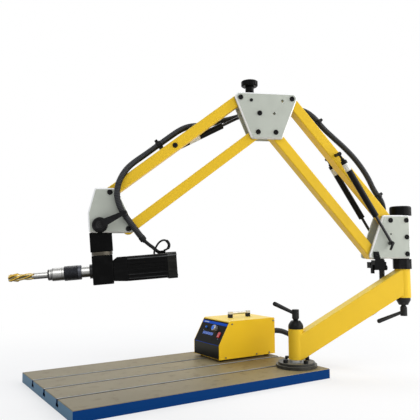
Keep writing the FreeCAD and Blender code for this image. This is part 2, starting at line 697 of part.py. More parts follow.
def hex_socket(name, height):
    """The tool that cuts a hexagon socket down into a screw head."""
    prism = doc.addObject("Part::Prism", name)
    prism.Polygon = 6
    bind(prism, "Circumradius", S.hex_socket_radius)
    bind(prism, "Height", height)
    return prism


def gas_stud(name, x, z, side, seat):
    """A ball stud that carries a gas spring's eye at gas_offset off the arm's middle plane."""
    reach = S.gas_offset - seat + S.gas_eye_radius
    shank = pin(name + "Shank", S.gas_rod_radius, x, z, side, seat - S.plate_thickness, seat)
    stem = pin(name + "Stem", S.gas_rod_radius - 1, x, z, side, seat, seat + reach)
    collar = pin(name + "Collar", S.gas_eye_radius - 1, x, z, side, seat,
                 S.gas_offset - S.gas_rod_radius - 1 - S.seat_gap)
    return fuse(name, shank, stem, collar)


def make_shoulder_fasteners():
    pieces = [through_bolt("ShoulderPivotTop", *SHOULDER_TOP),
              through_bolt("ShoulderPivotLow", *SHOULDER_LOW, PLATE_OUTER + S.clip_wall)]
    for number, (side, x, z) in enumerate(hub_screw_places()):
        shank = pin("HubScrewShank%d" % number, S.pivot_radius - 2, x, z, side,
                    PLATE_INNER - hub_screw_depth(), PLATE_OUTER)
        pieces.append(fuse("HubScrew%d" % number, shank,
                           button_head("HubScrewHead%d" % number, x, z, side)))
    for side in (-1, 1):
        pieces.append(gas_stud("ShoulderStud%d" % (side + 1), SHOULDER_TOP[0] - S.right_gas_back,
                               SHOULDER_TOP[1] - S.right_gas_drop, side, PLATE_OUTER))
    node("shoulder_bolts", group("ShoulderFasteners", *pieces), ARM)


def make_post_cap():
    body = turned("Cap", [(0, 0), (S.cap_radius, 0), (S.cap_radius, S.cap_height), (0, S.cap_height)])
    dress(body, "Fillet", S.cap_round, lambda e: all(
        abs(v.Z - float(S.cap_height)) < 0.01 for v in e.Vertexes) and e.Length > 100)
    cap = group("PostCap", place(body, S.arm_reach, 0, SHOULDER_PLATE_TOP))
    node("post_cap", cap, ARM)


HANGER_X = SHOULDER_LOW[0] + 13
HANGER_LOW = SHOULDER_LOW[1] - 55
HANGER_RING_X = SHOULDER_TOP[0] + 7


def make_hose_hanger():
    """A strap on the lower shoulder pivot, a clamp block under the plates and a ring round the hose."""
    strap_y = -PLATE_OUTER - S.clip_wall
    x, z = SHOULDER_LOW
    strap = slab("HangerStrap", [
        (x - 9, z + 9), (x - 9, z - 9), (HANGER_X - 9, HANGER_LOW + 20), (HANGER_X + 9, HANGER_LOW + 20),
        (x + 10, z + 9)], S.clip_wall, strap_y, [(x, z, S.pivot_radius)])
    block_y = strap_y + S.hanger_depth / 2
    block = box("HangerBlock", S.hanger_length, S.hanger_depth, S.hanger_height, HANGER_X, block_y,
                HANGER_LOW)
    tail = box("HangerTail", 9, 12, 30, HANGER_X - 21, block_y, HANGER_LOW - 12)
    bar_length = HOSE_BACK - block_y
    bar = box("HangerBar", 12, bar_length, 10, HANGER_X + 12, block_y + bar_length / 2, HANGER_LOW + 10)
    ring_width = S.hose_radius * 2 + S.clip_wall * 2
    ring_length = HANGER_RING_X - HANGER_X + S.hose_radius
    ring = box("HangerRing", ring_length, ring_width, 22, HANGER_X + 3 + ring_length / 2, HOSE_BACK,
               HANGER_LOW + 4)
    bore = cylinder("HangerBore", S.hose_radius + S.seat_gap, 40, HANGER_RING_X, HOSE_BACK, HANGER_LOW - 6)
    clamp = fuse("HangerSolid", strap, block, tail, bar, ring)
    node("hose_hanger", cut("Hanger", clamp, bore), ARM)
    knob = turned("HangerKnob", [
        (0, 0), (7, 0), (7, 4), (9, 5), (9, 12), (0, 12)],
        HANGER_X + S.hanger_length / 2 + S.seat_gap, block_y, HANGER_LOW + 7, RIGHTWARD)
    node("hanger_knob", group("HangerKnobSeat", knob), ARM)


# ---------------------------------------------------------------- links and gas springs

def beam(name, label, pivot, angle, far_gap, stud_at=None, stud_sides=()):
    """A box beam with round ends and a bored boss at each end, along X from its own first pivot."""
    half = S.beam_height / 2
    half_width = BEAM_WIDTH / 2
    bar = slab(name + "Bar", [(ZERO, -half), (S.link_length, -half), (S.link_length, half), (ZERO, half)],
               BEAM_WIDTH, -half_width)
    dress(bar, "Fillet", S.beam_round, runs_along)
    ends = [cylinder("%sEnd%d" % (name, i), half, BEAM_WIDTH, x, -half_width, 0, BACKWARD)
            for i, x in enumerate((ZERO, S.link_length))]
    core_length = S.link_length - S.boss_radius * 2
    core = box(name + "Core", core_length, BEAM_WIDTH - S.beam_wall * 2, S.beam_height - S.beam_wall * 2,
               S.link_length / 2, 0, -half + S.beam_wall)
    boss_reach = PLATE_INNER - S.side_gap
    bosses = [cylinder("%sBoss%d" % (name, i), S.boss_radius, boss_reach * 2, x, -boss_reach, 0, BACKWARD)
              for i, x in enumerate((ZERO, S.link_length))]
    skin = cut(name + "Skin", fuse(name + "Solid", bar, *ends), core)
    bored = [cylinder("%sBore%d" % (name, i), S.pivot_radius + gap, boss_reach * 2 + 2, x,
                      -boss_reach - 1, 0, BACKWARD)
             for i, (x, gap) in enumerate(((ZERO, S.running_gap), (S.link_length, far_gap)))]
    for side in stud_sides:
        bored.append(pin("%sStudHole%d" % (name, side + 1), S.gas_rod_radius, stud_at, ZERO, side,
                         half_width - S.plate_thickness, half_width + 1))
    tilt = Rotation(Vector(0, 1, 0), float(angle))
    frame = ARM.multiply(Placement(Vector(float(pivot[0]), 0, float(pivot[1])), tilt))
    whole = fuse(name + "Welded", skin, *bosses)
    node(label, cut(name, whole, *bored), frame)


def make_beams():
    right = S.right_link_angle + 180
    left = 180 - S.left_link_angle
    beam("UpperRight", "upper_right_beam", SHOULDER_TOP, right, S.running_gap, S.right_gas_along, (-1, 1))
    beam("LowerRight", "lower_right_beam", SHOULDER_LOW, right, S.open_gap)
    beam("UpperLeft", "upper_left_beam", ELBOW_LEFT, left, S.running_gap, S.left_gas_along, (-1, 1))
    beam("LowerLeft", "lower_left_beam", ELBOW_LEFT_LOW, left, S.open_gap)


def along_right(distance, off=ZERO):
    """A place on the upper right beam: a distance from the shoulder pivot and off its axis outwards."""
    c, s = cosine(S.right_link_angle), sine(S.right_link_angle)
    return (SHOULDER_TOP[0] - c * distance + s * off, SHOULDER_TOP[1] + s * distance + c * off)


def along_left(distance, off=ZERO):
    """A place on the upper left beam: a distance from the elbow pivot and off its axis outwards."""
    c, s = cosine(S.left_link_angle), sine(S.left_link_angle)
    return (ELBOW_LEFT[0] - c * distance - s * off, ELBOW_LEFT[1] - s * distance + c * off)


def hose_clip(name, place_of, angle, stand_off, across=ZERO):
    """A clip on a beam's outer face that grips the hose; angle lays it along the beam."""
    outer = S.hose_radius + S.clip_wall
    lift = stand_off - S.beam_height / 2
    ring = cylinder(name + "Ring", outer, S.clip_length, 0, 0, 0, RIGHTWARD)
    foot = box(name + "Foot", S.clip_length, 14, lift - S.hose_radius, S.clip_length / 2, across * -0.35,
               -lift)
    tail = box(name + "Tail", S.clip_length - 4, 5, 8, S.clip_length / 2, 0, outer - 1)
    bore = cylinder(name + "Bore", S.hose_radius + S.seat_gap * 2, S.clip_length + 2, -1, 0, 0, RIGHTWARD)
    clip = cut(name, fuse(name + "Solid", ring, foot, tail), bore)
    clip.Placement = Placement(Vector(float(place_of[0]), float(across), float(place_of[1])),
                               Rotation(Vector(0, 1, 0), float(angle)))
    return clip


RIGHT_CLIPS = (82, 432)
LEFT_CLIP = 327


def make_beam_fittings():
    width = BEAM_WIDTH / 2
    stud = along_right(S.right_gas_along)
    pieces = [gas_stud("RightStud%d" % (side + 1), *stud, side, width) for side in (-1, 1)]
    for number, distance in enumerate(RIGHT_CLIPS):
        pieces.append(hose_clip("RightClip%d" % number, along_right(distance, S.hose_stand_off),
                                S.right_link_angle, S.hose_stand_off, S.right_clip_across))
    node("right_beam_fittings", group("RightFittings", *pieces), ARM)
    stud_place = along_left(S.left_gas_along)
    stud = gas_stud("LeftStud", *stud_place, 1, width)
    shank = pin("LeftScrewShank", S.gas_rod_radius, *stud_place, -1, width - S.plate_thickness, width)
    screw = fuse("LeftScrew", shank, button_head("LeftScrewHead", *stud_place, -1, width))
    clip = hose_clip("LeftClip", along_left(LEFT_CLIP, S.left_stand_off), -S.left_link_angle,
                     S.left_stand_off)
    node("left_beam_fittings", group("LeftFittings", stud, screw, clip), ARM)


def gas_eye(name):
    """The round eye that turns on a stud, and the tool that bores it."""
    half = S.gas_rod_radius + 1
    head = cylinder(name + "Eye", S.gas_eye_radius, half * 2, 0, half, 0, FORWARD)
    hole = cylinder(name + "EyeHole", S.gas_rod_radius - 1 + S.running_gap, half * 2 + 2, 0, half + 1, 0,
                    FORWARD)
    return head, hole


def gas_cylinder(name, start, end, side, length):
    """Cylinder with its eye at start, pointing at end; open bore with a gland at its mouth."""
    eye = S.gas_eye_length
    r, bore = S.gas_cylinder_radius, S.gas_bore_radius
    gland = S.gas_rod_radius + S.gas_gland_gap
    shell = turned(name + "Shell", [
        (0, eye - 8), (r - 4, eye - 8), (r - 4, eye - 2), (r, eye + 1), (r, eye + length),
        (gland, eye + length), (gland, eye + length - 8), (bore, eye + length - 8), (bore, eye + 12),
        (0, eye + 12)])
    neck = cylinder(name + "Neck", S.gas_rod_radius - 1, eye - 6, 0, 0, 2)
    head, hole = gas_eye(name)
    spring = cut(name, fuse(name + "Solid", shell, neck, head), hole)
    return aim(spring, start, end, side)


def gas_rod(name, start, end, side, length):
    """Rod with its eye at start, reaching into the cylinder that comes from end."""
    stem = cylinder(name + "Stem", S.gas_rod_radius, length, 0, 0, 4)
    piston = cylinder(name + "Piston", S.gas_rod_radius + 1, 8, 0, 0, length - 4)
    head, hole = gas_eye(name)
    rod = cut(name, fuse(name + "Solid", stem, piston, head), hole)
    return aim(rod, start, end, side)


def aim(obj, start, end, side):
    across, up = float(end[0]) - float(start[0]), float(end[1]) - float(start[1])
    lean = math.degrees(math.atan2(across, up))
    obj.Placement = Placement(Vector(float(start[0]), float(S.gas_offset) * side, float(start[1])),
                              Rotation(Vector(0, 1, 0), lean))
    return obj


def make_gas_springs():
    upper = along_right(S.right_gas_along)
    lower = (SHOULDER_TOP[0] - S.right_gas_back, SHOULDER_TOP[1] - S.right_gas_drop)
    length = S.right_gas_cylinder_length
    node("right_gas_cylinders", group("RightCylinders", *[
        gas_cylinder("RightCylinder%d" % (side + 1), upper, lower, side, length) for side in (-1, 1)]), ARM)
    node("right_gas_rods", group("RightRods", *[
        gas_rod("RightRod%d" % (side + 1), lower, upper, side, length - 10) for side in (-1, 1)]), ARM)
    upper = (ELBOW_LEFT[0] + S.left_gas_across, ELBOW_LEFT[1] - S.left_gas_drop)
    lower = along_left(S.left_gas_along)
    length = S.left_gas_cylinder_length
    node("left_gas_cylinder", group("LeftCylinderSeat",
                                    gas_cylinder("LeftCylinder", lower, upper, 1, length)), ARM)
    node("left_gas_rod", group("LeftRodSeat", gas_rod("LeftRod", upper, lower, 1, length)), ARM)


# ---------------------------------------------------------------- elbow

def elbow_outline(inset):
    """A trapezoid with cut top corners; the inset draws its sides and foot in."""
    top = ELBOW_LEFT[1] + S.elbow_top_margin
    bottom = ELBOW_LEFT_LOW[1] - S.elbow_bottom_margin + inset
    foot, side = S.elbow_foot_margin - inset, S.elbow_side_margin - inset
    cut_down, cut_in = S.plate_corner * 1.6, S.plate_corner * 1.3
    return [
        (ELBOW_LEFT_LOW[0] - foot, bottom), (ELBOW_RIGHT_LOW[0] + foot, bottom),
        (ELBOW_RIGHT[0] + side, top - cut_down), (ELBOW_RIGHT[0] + side - cut_in, top),
        (ELBOW_LEFT[0] - side + cut_in, top), (ELBOW_LEFT[0] - side, top - cut_down)]


def make_elbow_plates():
    pivots = (ELBOW_LEFT, ELBOW_RIGHT, ELBOW_LEFT_LOW, ELBOW_RIGHT_LOW)
    holes = [(x, z, S.pivot_radius) for x, z in pivots]
    holes += [
        (ELBOW_LEFT[0] + S.spacer_across, ELBOW_LEFT[1] - S.spacer_drop, S.pivot_radius),
        (ELBOW_LEFT[0] + S.knob_across - 4, ELBOW_LEFT[1] - 9, S.screw_hole_radius),
        (ELBOW_RIGHT[0] - 35, ELBOW_RIGHT[1] - 8, S.open_hole_radius),
        (ELBOW_RIGHT[0] - 65, ELBOW_RIGHT[1] - S.spacer_drop, S.open_hole_radius)]
    plate("ElbowFront", "elbow_plate_front", elbow_outline(ZERO), holes, -1)
    stud = (ELBOW_LEFT[0] + S.left_gas_across, ELBOW_LEFT[1] - S.left_gas_drop, S.gas_rod_radius)
    plate("ElbowRear", "elbow_plate_rear", elbow_outline(S.elbow_rear_inset), holes + [stud], 1)


def make_elbow_inside():
    """Spacer tube, the block that carries the star knob, and all bolts through the elbow."""
    x, z = ELBOW_LEFT[0] + S.spacer_across, ELBOW_LEFT[1] - S.spacer_drop
    sleeve = cylinder("SpacerBody", S.spacer_radius, S.plate_gap, x, -PLATE_INNER, z, BACKWARD)
    bore = cylinder("SpacerBore", S.pivot_radius, S.plate_gap + 2, x, -PLATE_INNER - 1, z, BACKWARD)
    block_x = ELBOW_LEFT[0] + S.knob_across
    block_top = ELBOW_LEFT[1] + S.elbow_top_margin - S.knob_block_drop
    block = box("KnobBlockBody", S.knob_block_width, S.plate_gap, S.knob_block_height, block_x, 0,
                block_top - S.knob_block_height)
    thread = cylinder("KnobThread", S.gas_rod_radius + S.running_gap, S.knob_block_height + 2, block_x, 0,
                      block_top - S.knob_block_height - 1)
    small = [pin("KnobScrewHole%d" % (side + 1), S.screw_hole_radius, block_x - 4, ELBOW_LEFT[1] - 9, side,
                 PLATE_INNER - 12, PLATE_INNER + 1) for side in (-1, 1)]
    node("elbow_spacers", group("ElbowInside", cut("Spacer", sleeve, bore),
                                cut("KnobBlock", block, thread, *small)), ARM)
    pieces = []
    bolts = [ELBOW_LEFT, ELBOW_RIGHT, ELBOW_LEFT_LOW, ELBOW_RIGHT_LOW, (x, z)]
    for number, place_of in enumerate(bolts):
        pieces.append(through_bolt("ElbowBolt%d" % number, *place_of))
    for side in (-1, 1):
        shank = pin("KnobScrew%d" % (side + 1), S.screw_hole_radius, block_x - 4, ELBOW_LEFT[1] - 9, side,
                    PLATE_INNER - 12, PLATE_OUTER)
        head = pin("KnobScrewHead%d" % (side + 1), S.screw_hole_radius + 2, block_x - 4,
                   ELBOW_LEFT[1] - 9, side, PLATE_OUTER, PLATE_OUTER + 3)
        pieces.append(fuse("KnobScrewWhole%d" % (side + 1), shank, head))
    pieces.append(gas_stud("ElbowStud", ELBOW_LEFT[0] + S.left_gas_across,
                           ELBOW_LEFT[1] - S.left_gas_drop, 1, PLATE_OUTER))
    node("elbow_bolts", group("ElbowFasteners", *pieces), ARM)


def make_star_knob():
    """A lobed knob on a necked stem; its screw runs in the elbow's block."""
    x = ELBOW_LEFT[0] + S.knob_across
    base = ELBOW_LEFT[1] + S.elbow_top_margin - S.knob_block_drop + S.seat_gap
    neck_top = S.star_knob_neck_height
    stem = turned("KnobStem", [
        (0, -S.knob_block_height), (S.gas_rod_radius, -S.knob_block_height), (S.gas_rod_radius, 0),
        (S.star_knob_neck_radius * 0.55, 0), (S.star_knob_neck_radius, S.star_knob_neck_height * 0.45),
        (S.star_knob_neck_radius, neck_top), (S.star_knob_radius - 3, neck_top),
        (S.star_knob_radius, neck_top + 3), (S.star_knob_radius, neck_top + S.star_knob_height - 4),
        (S.star_knob_radius - 3, neck_top + S.star_knob_height - 2),
        (S.star_knob_radius / 2, neck_top + S.star_knob_height), (0, neck_top + S.star_knob_height)])
    flutes = []
    for i in range(int(float(S.star_knob_lobes))):
        angle = i * 360 / float(S.star_knob_lobes)
        reach = S.star_knob_radius + 2.5
        flutes.append(cylinder("KnobFlute%d" % i, 5, S.star_knob_height + 4,
                               reach * math.cos(math.radians(angle)), reach * math.sin(math.radians(angle)),
                               neck_top - 1))
    knob = cut("StarKnob", stem, *flutes)
    node("elbow_knob", knob, ARM.multiply(Placement(Vector(float(x), 0, float(base)), Rotation())))


# ---------------------------------------------------------------- head

def make_head_plates():
    x, z = HEAD_TOP
    low = z - 131
    outline = [
        (x - 66, low), (x + 78, low), (x + 78, low + 13), (x + 70, z - 83), (x + 34, z - 8),
        (x + 25, z + 14), (x - 48, z + 14), (x - 70, z - 68)]
    holes = [(x, z, S.pivot_radius), (*HEAD_LOW, S.pivot_radius), (*TILT, S.tilt_axle_radius)]
    plate("HeadFront", "head_plate_front", outline, holes, -1)
    plate("HeadRear", "head_plate_rear", outline, holes, 1)
    axle = cylinder("TiltAxle", S.tilt_axle_radius, PLATE_OUTER * 2 + S.tilt_hub_height * 0.6, TILT[0],
                    -PLATE_OUTER - S.tilt_hub_height * 0.6, TILT[1], BACKWARD)
    axle_head = cylinder("TiltAxleHead", S.tilt_axle_radius + 5, 6, TILT[0], PLATE_OUTER, TILT[1], BACKWARD)
    node("head_bolts", group("HeadFasteners", through_bolt("HeadPivotTop", *HEAD_TOP),
                             through_bolt("HeadPivotLow", *HEAD_LOW),
                             fuse("TiltAxleWhole", axle, axle_head)), ARM)


def make_tilt_lever():
    """Round hub on the tilt axle with a tapering arm, along X from the hub."""
    seat = PLATE_OUTER + S.side_gap
    hub = turned("TiltHub", [
        (S.tilt_axle_radius + S.running_gap, 0), (S.tilt_hub_radius, 0),
        (S.tilt_hub_radius, S.tilt_hub_height - 5), (S.tilt_hub_radius - 4, S.tilt_hub_height),
        (S.tilt_hub_radius - 9, S.tilt_hub_height), (S.tilt_hub_radius - 9, S.tilt_hub_height + 8),
        (0, S.tilt_hub_height + 8), (0, S.tilt_hub_height * 0.6 + 1),
        (S.tilt_axle_radius + S.running_gap, S.tilt_hub_height * 0.6 + 1)],
        0, -seat, 0, FORWARD)
    reach = S.tilt_lever_reach
    arm = slab("TiltArm", [
        (8, -13), (reach - 6, -5), (reach, -1), (reach, 4), (reach - 6, 7), (8, 13)],
        S.tilt_lever_thickness, TILT_ARM_BACK - S.tilt_lever_thickness)
    dress(arm, "Fillet", S.block_round / 2, any_edge)
    web_back = -seat - S.tilt_hub_height / 2
    web = slab("TiltWeb", [(12, -11), (24, -10), (24, 10), (12, 11)],
               web_back - TILT_ARM_BACK + 1, TILT_ARM_BACK - 1)
    handle = fuse("TiltLever", hub, arm, web)
    frame = ARM.multiply(Placement(Vector(float(TILT[0]), 0, float(TILT[1])),
                                   Rotation(Vector(0, 1, 0), -float(S.tilt_lever_angle))))
    node("tilt_lever", handle, frame)


def make_neck():
    """Block that tilts on the axle, the swivel ring under it and the gearbox block."""
    spigot = S.neck_width / 4
    block = rounded_block("NeckBlock", S.neck_width, NECK_DEPTH, S.neck_bottom - S.neck_shoulder, ZERO,
                          -S.neck_bottom, S.block_round)
    tang = box("NeckTang", S.neck_tang_radius * 2, NECK_DEPTH, S.neck_shoulder + S.block_round * 2, 0, 0,
               -S.neck_shoulder - S.block_round * 2)
    crown = cylinder("NeckCrown", S.neck_tang_radius, NECK_DEPTH, 0, -NECK_DEPTH / 2, 0, BACKWARD)
    bore = cylinder("NeckBore", S.tilt_axle_radius + S.running_gap, NECK_DEPTH + 2, 0,
                    -NECK_DEPTH / 2 - 1, 0, BACKWARD)
    socket = cylinder("NeckSocket", spigot + S.running_gap, 21, 0, 0, -S.neck_bottom - 1)
    node("tilt_neck", cut("Neck", fuse("NeckSolid", block, tang, crown), bore, socket), HEAD)
    ring = turned("Ring", [
        (spigot + S.running_gap, 0), (S.ring_radius, 0), (S.ring_radius, S.ring_height),
        (spigot + S.running_gap, S.ring_height)], 0, 0, -BLOCK_TOP)
    node("swivel_ring", group("RingSeat", ring), HEAD)


def make_gearbox():
    spigot = S.neck_width / 4
    low = -BLOCK_TOP - S.block_height
    block = rounded_block("GearBlock", S.block_width, S.block_depth, S.block_height - S.seat_gap, ZERO, low,
                          S.block_round)
    pivot = cylinder("GearSpigot", spigot, S.ring_height + 23, 0, 0, -BLOCK_TOP - 6)
    bore = cylinder("GearBore", S.spindle_radius - 2, S.block_width / 2 + 1, -S.block_width / 2 - 1, 0,
                    -SPINDLE_AXIS, RIGHTWARD)
    node("gearbox_block", cut("Gearbox", fuse("GearSolid", block, pivot), bore), HEAD)


def ribbed_motor(name, side, length, x, groove_rows):
    """A square motor length with rounded long edges and cooling grooves along it."""
    body = doc.addObject("PartDesign::Body", name)
    sketch = sketch_on(body, "YZ_Plane")
    half = side / 2
    polygon(sketch, [(-half, -half), (half, -half), (half, half), (-half, half)])
    pad = body.newObject("PartDesign::Pad", name + "_pad")
    pad.Profile = sketch
    bind(pad, "Length", length)
    body.Tip = pad
    dress(body, "Fillet", S.motor_round, lambda e: isinstance(e.Curve, Part.Line)
          and abs(e.Curve.Direction.x) > 0.99)
    place(body, x, 0, -SPINDLE_AXIS)
    grooves = []
    for row in groove_rows:
        for face in (-1, 1):
            grooves.append(box("%sGroove%d_%d" % (name, row, face + 1), length - 16, 5, 5, x + length / 2,
                               half * face, -SPINDLE_AXIS + row * 12 - 2.5))
            lid = box("%sRoof%d_%d" % (name, row, face + 1), length - 16, 5, 5, x + length / 2, row * 12,
                      -SPINDLE_AXIS + half * face - 2.5)
            grooves.append(lid)
    return cut(name + "Ribbed", body, *grooves) if grooves else body


CONNECTOR_X = S.block_width / 2 + S.motor_flange_length + S.motor_length - S.connector_length - 2
CONNECTOR_Z = -SPINDLE_AXIS + S.motor_side / 2


def make_motor():
    start = S.block_width / 2
    flange = slab("MotorFlange", [
        (start, -SPINDLE_AXIS - S.motor_side / 2 + 4), (start + S.motor_flange_length,
                                                     -SPINDLE_AXIS - S.motor_side / 2),
        (start + S.motor_flange_length, -SPINDLE_AXIS + S.motor_side / 2),
        (start + 14, -SPINDLE_AXIS + S.motor_side / 2), (start, -SPINDLE_AXIS + S.motor_side / 2 - 10)],
        S.motor_side, -S.motor_side / 2)
    dress(flange, "Fillet", S.block_round, any_edge)
    body_x = start + S.motor_flange_length
    body = ribbed_motor("MotorCase", S.motor_side, S.motor_length, body_x, (-2, -1, 0, 1, 2))
    connector = box("Connector", S.connector_length, S.connector_width, S.connector_height,
                    CONNECTOR_X + S.connector_length / 2, 0, CONNECTOR_Z)
    node("motor_body", group("Motor", flange, body, connector), HEAD)
    cap_x = body_x + S.motor_length
    cap = ribbed_motor("MotorCap", S.motor_cap_side, S.motor_cap_length, cap_x, ())
    node("motor_cap", group("MotorCapSeat", cap), HEAD)


def make_spindle():
    """Spindle, sliding chuck sleeve, collet holder and tap, all round the spindle's axis."""
    face = -S.block_width / 2
    axis = (face, 0, -SPINDLE_AXIS, LEFTWARD)
    collar = S.spindle_collar_length
    end = collar + S.spindle_length + S.chuck_length - 10
    inner = S.spindle_radius - 4
    root = S.spindle_radius - 2 - S.running_gap
    shaft = turned("SpindleShaft", [
        (0, -S.block_width / 3), (root, -S.block_width / 3), (root, S.seat_gap),
        (S.spindle_collar_radius, S.seat_gap), (S.spindle_collar_radius, collar), (S.spindle_radius, collar),
        (S.spindle_radius, end), (inner, end), (inner, end - 30), (0, end - 30)], *axis)
    node("spindle", group("SpindleSeat", shaft), HEAD)
    sleeve_start = collar + S.spindle_length - S.sleeve_travel - S.sleeve_overlap
    bore = S.spindle_radius + S.running_gap
    sleeve = turned("ChuckSleeve", [
        (bore, sleeve_start), (S.chuck_radius - 1.5, sleeve_start), (S.chuck_radius, sleeve_start + 2),
        (S.chuck_radius, sleeve_start + S.chuck_length - 2),
        (S.chuck_radius - 1.5, sleeve_start + S.chuck_length), (bore, sleeve_start + S.chuck_length)], *axis)
    node("chuck_sleeve", group("SleeveSeat", sleeve), HEAD)
    holder_start = sleeve_start + S.chuck_length + S.seat_gap
    nose = holder_start + S.holder_length
    socket = S.tap_shank_radius
    holder = turned("Holder", [
        (0, end - 30), (inner, end - 30), (inner, end), (inner, holder_start),
        (S.holder_radius, holder_start), (S.holder_radius, nose - S.holder_nose_length),
        (S.holder_nose_radius, nose - S.holder_nose_length + 2), (S.holder_nose_radius, nose - 2),
        (S.holder_nose_radius - 2, nose), (socket, nose), (socket, nose - 30), (0, nose - 30)], *axis)
    node("collet_holder", group("HolderSeat", holder), HEAD)
    make_tap(axis, nose)


def make_tap(axis, nose):
    """Shank with a squared tail end and a threaded length with chip flutes and a lead taper."""
    start = nose - 30
    cut_start = nose + S.tap_shank_length
    tip = cut_start + S.tap_length
    blank = turned("TapBlank", [
        (0, start), (S.tap_shank_radius, start), (S.tap_shank_radius, cut_start - 4),
        (S.tap_radius - 1, cut_start), (S.tap_radius, cut_start + 3), (S.tap_radius, tip - 22),
        (S.tap_radius - 5, tip), (0, tip)], *axis)
    flutes = []
    count = int(float(S.tap_flutes))
    for i in range(count):
        angle = math.radians(i * 360 / count + 45)
        reach = S.tap_radius + 0.5
        flutes.append(cylinder("TapFlute%d" % i, S.tap_flute_radius, S.tap_length + 2, -S.block_width / 2
                               - cut_start, reach * math.cos(angle),
                               -SPINDLE_AXIS + reach * math.sin(angle), LEFTWARD))
    node("tap", cut("Tap", blank, *flutes), HEAD)


# ---------------------------------------------------------------- control box

BOX_FRAME = Placement(
    Vector(float(COLUMN_X + S.box_rear_reach), float(COLUMN_Y + S.box_front_distance),
           float(S.table_height + S.box_foot_height)), Rotation())
GLAND_ALONG, GLAND_UP = S.gland_along, S.gland_up
SLOPE_RISE = S.box_height - S.box_fold_height
PANEL_ANGLE = math.degrees(math.atan2(float(S.box_slope_run), float(SLOPE_RISE)))


def box_outline(inset):
    """The box's side outline, inset all round; X runs to the rear, which is at 0."""
    front = -S.box_length + inset
    top_front = -S.box_length + S.box_slope_run + inset * 0.7
    return [(front, ZERO + inset), (-inset, ZERO + inset), (-inset, S.box_height - inset),
            (top_front, S.box_height - inset), (front, S.box_fold_height + inset * 0.3)]


def make_box():
    """Folded cover with side walls, a tray with its feet, and the black front panel."""
    wall = S.box_wall
    outer = slab("CoverSolid", box_outline(ZERO), S.box_depth, ZERO)
    dress(outer, "Fillet", S.box_round, lambda edge: runs_through(edge) and edge.Vertexes[0].Z > 1)
    tray_rise = 12
    hollow = slab("CoverHollow", box_outline(wall), S.box_depth - wall * 2, wall)
    belly = box("CoverBelly", S.box_length - wall * 2, S.box_depth - wall * 2, wall + 2,
                -S.box_length / 2, S.box_depth / 2, -1)
    front_window = slab("CoverWindow", [
        (-S.box_length - 1, -1), (-S.box_length + wall + 1, -1),
        (-S.box_length + wall + 1, S.box_fold_height + 2),
        (-S.box_length + S.box_slope_run + wall, S.box_height - wall * 3),
        (-S.box_length + S.box_slope_run - 30, S.box_height + 2), (-S.box_length - 1, S.box_height + 2)],
        S.box_depth - wall * 2, wall)
    gland_hole = cylinder("CoverGlandHole", S.gland_radius - 3, wall + 4, -wall - 2, GLAND_ALONG,
                          GLAND_UP, RIGHTWARD)
    node("control_box_cover", cut("Cover", outer, hollow, belly, front_window, gland_hole), BOX_FRAME)
    gap = wall + S.seat_gap
    floor = box("TrayFloor", S.box_length - gap * 2, S.box_depth - gap * 2, wall, -S.box_length / 2,
                S.box_depth / 2, 0)
    lips = [box("TrayLip%d" % (side + 1), S.box_length - gap * 2 - 30, wall, tray_rise,
                -S.box_length / 2, S.box_depth / 2 + (S.box_depth / 2 - gap - wall / 2) * side, 0)
            for side in (-1, 1)]
    node("control_box_tray", fuse("Tray", floor, *lips), BOX_FRAME)
    make_panel(wall)
    feet = []
    for number, (x, y) in enumerate(foot_spots()):
        feet.append(cone("BoxFoot%d" % number, S.box_foot_radius - 2, S.box_foot_radius,
                         S.box_foot_height, x, y, -S.box_foot_height))
    node("control_box_feet", group("BoxFeet", *feet), BOX_FRAME)


def foot_spots():
    inset = 24
    return [(x, y) for x in (-inset, -S.box_length + inset) for y in (Dim.of(inset), S.box_depth - inset)]


def make_panel(wall):
    """Front panel bent at the fold, between the cover's side walls."""
    thick = S.panel_thickness
    front = -S.box_length
    top = (front + S.box_slope_run, S.box_height - S.panel_top_gap)
    lean = S.box_slope_run * S.panel_top_gap / SLOPE_RISE
    gap = wall + S.seat_gap
    sheet_metal = slab("PanelSheet", [
        (front + thick, wall + S.seat_gap), (front + thick, S.box_fold_height - 1),
        (top[0] - lean + thick, top[1]), (top[0] - lean, top[1]), (front, S.box_fold_height),
        (front, wall + S.seat_gap)], S.box_depth - gap * 2, gap)
    holes = [on_panel(cylinder("PanelHole%d" % i, radius, thick * 3), up, along, -thick * 1.5)
             for i, (up, along, radius) in enumerate((
                 (*SELECTOR_AT, S.gas_rod_radius - 1), (*BUTTON_AT, S.button_radius + S.seat_gap)))]
    rocker_hole = on_panel(box("PanelRockerHole", S.rocker_length + 1, S.rocker_width + 1, thick * 3),
                           *ROCKER_AT, -thick * 1.5)
    pin_length = S.rocker_width + 3
    rocker_pin = on_panel(cylinder("PanelRockerPin", S.rocker_pin_radius, pin_length, 0, -pin_length / 2,
                                   0, BACKWARD), *ROCKER_AT, -thick / 2)
    opened = cut("PanelOpened", sheet_metal, *holes, rocker_hole)
    node("control_box_panel", fuse("Panel", opened, rocker_pin), BOX_FRAME)


SELECTOR_AT = (Dim.of(58), Dim.of(66))
BUTTON_AT = (Dim.of(58), Dim.of(128))
ROCKER_AT = (Dim.of(38), Dim.of(28))


def panel_place(up, along, lift=0.0):
    """A frame on the slanted panel: up the slope from the fold, along its width, off its face."""
    slope = math.radians(PANEL_ANGLE)
    x = -float(S.box_length) + math.sin(slope) * float(up) - math.cos(slope) * float(lift)
    z = float(S.box_fold_height) + math.cos(slope) * float(up) + math.sin(slope) * float(lift)
    return Placement(Vector(x, float(along), z), Rotation(Vector(0, 1, 0), -(90 - PANEL_ANGLE)))


def on_panel(obj, up, along, lift):
    """Stand a piece on the slanted panel with its own Z axis square to the panel's face."""
    shape_home = obj.Placement
    obj.Placement = panel_place(up, along, float(lift)).multiply(shape_home)
    for axis in "xyz":
        obj.setExpression("Placement.Base.%s" % axis, None)
    return obj


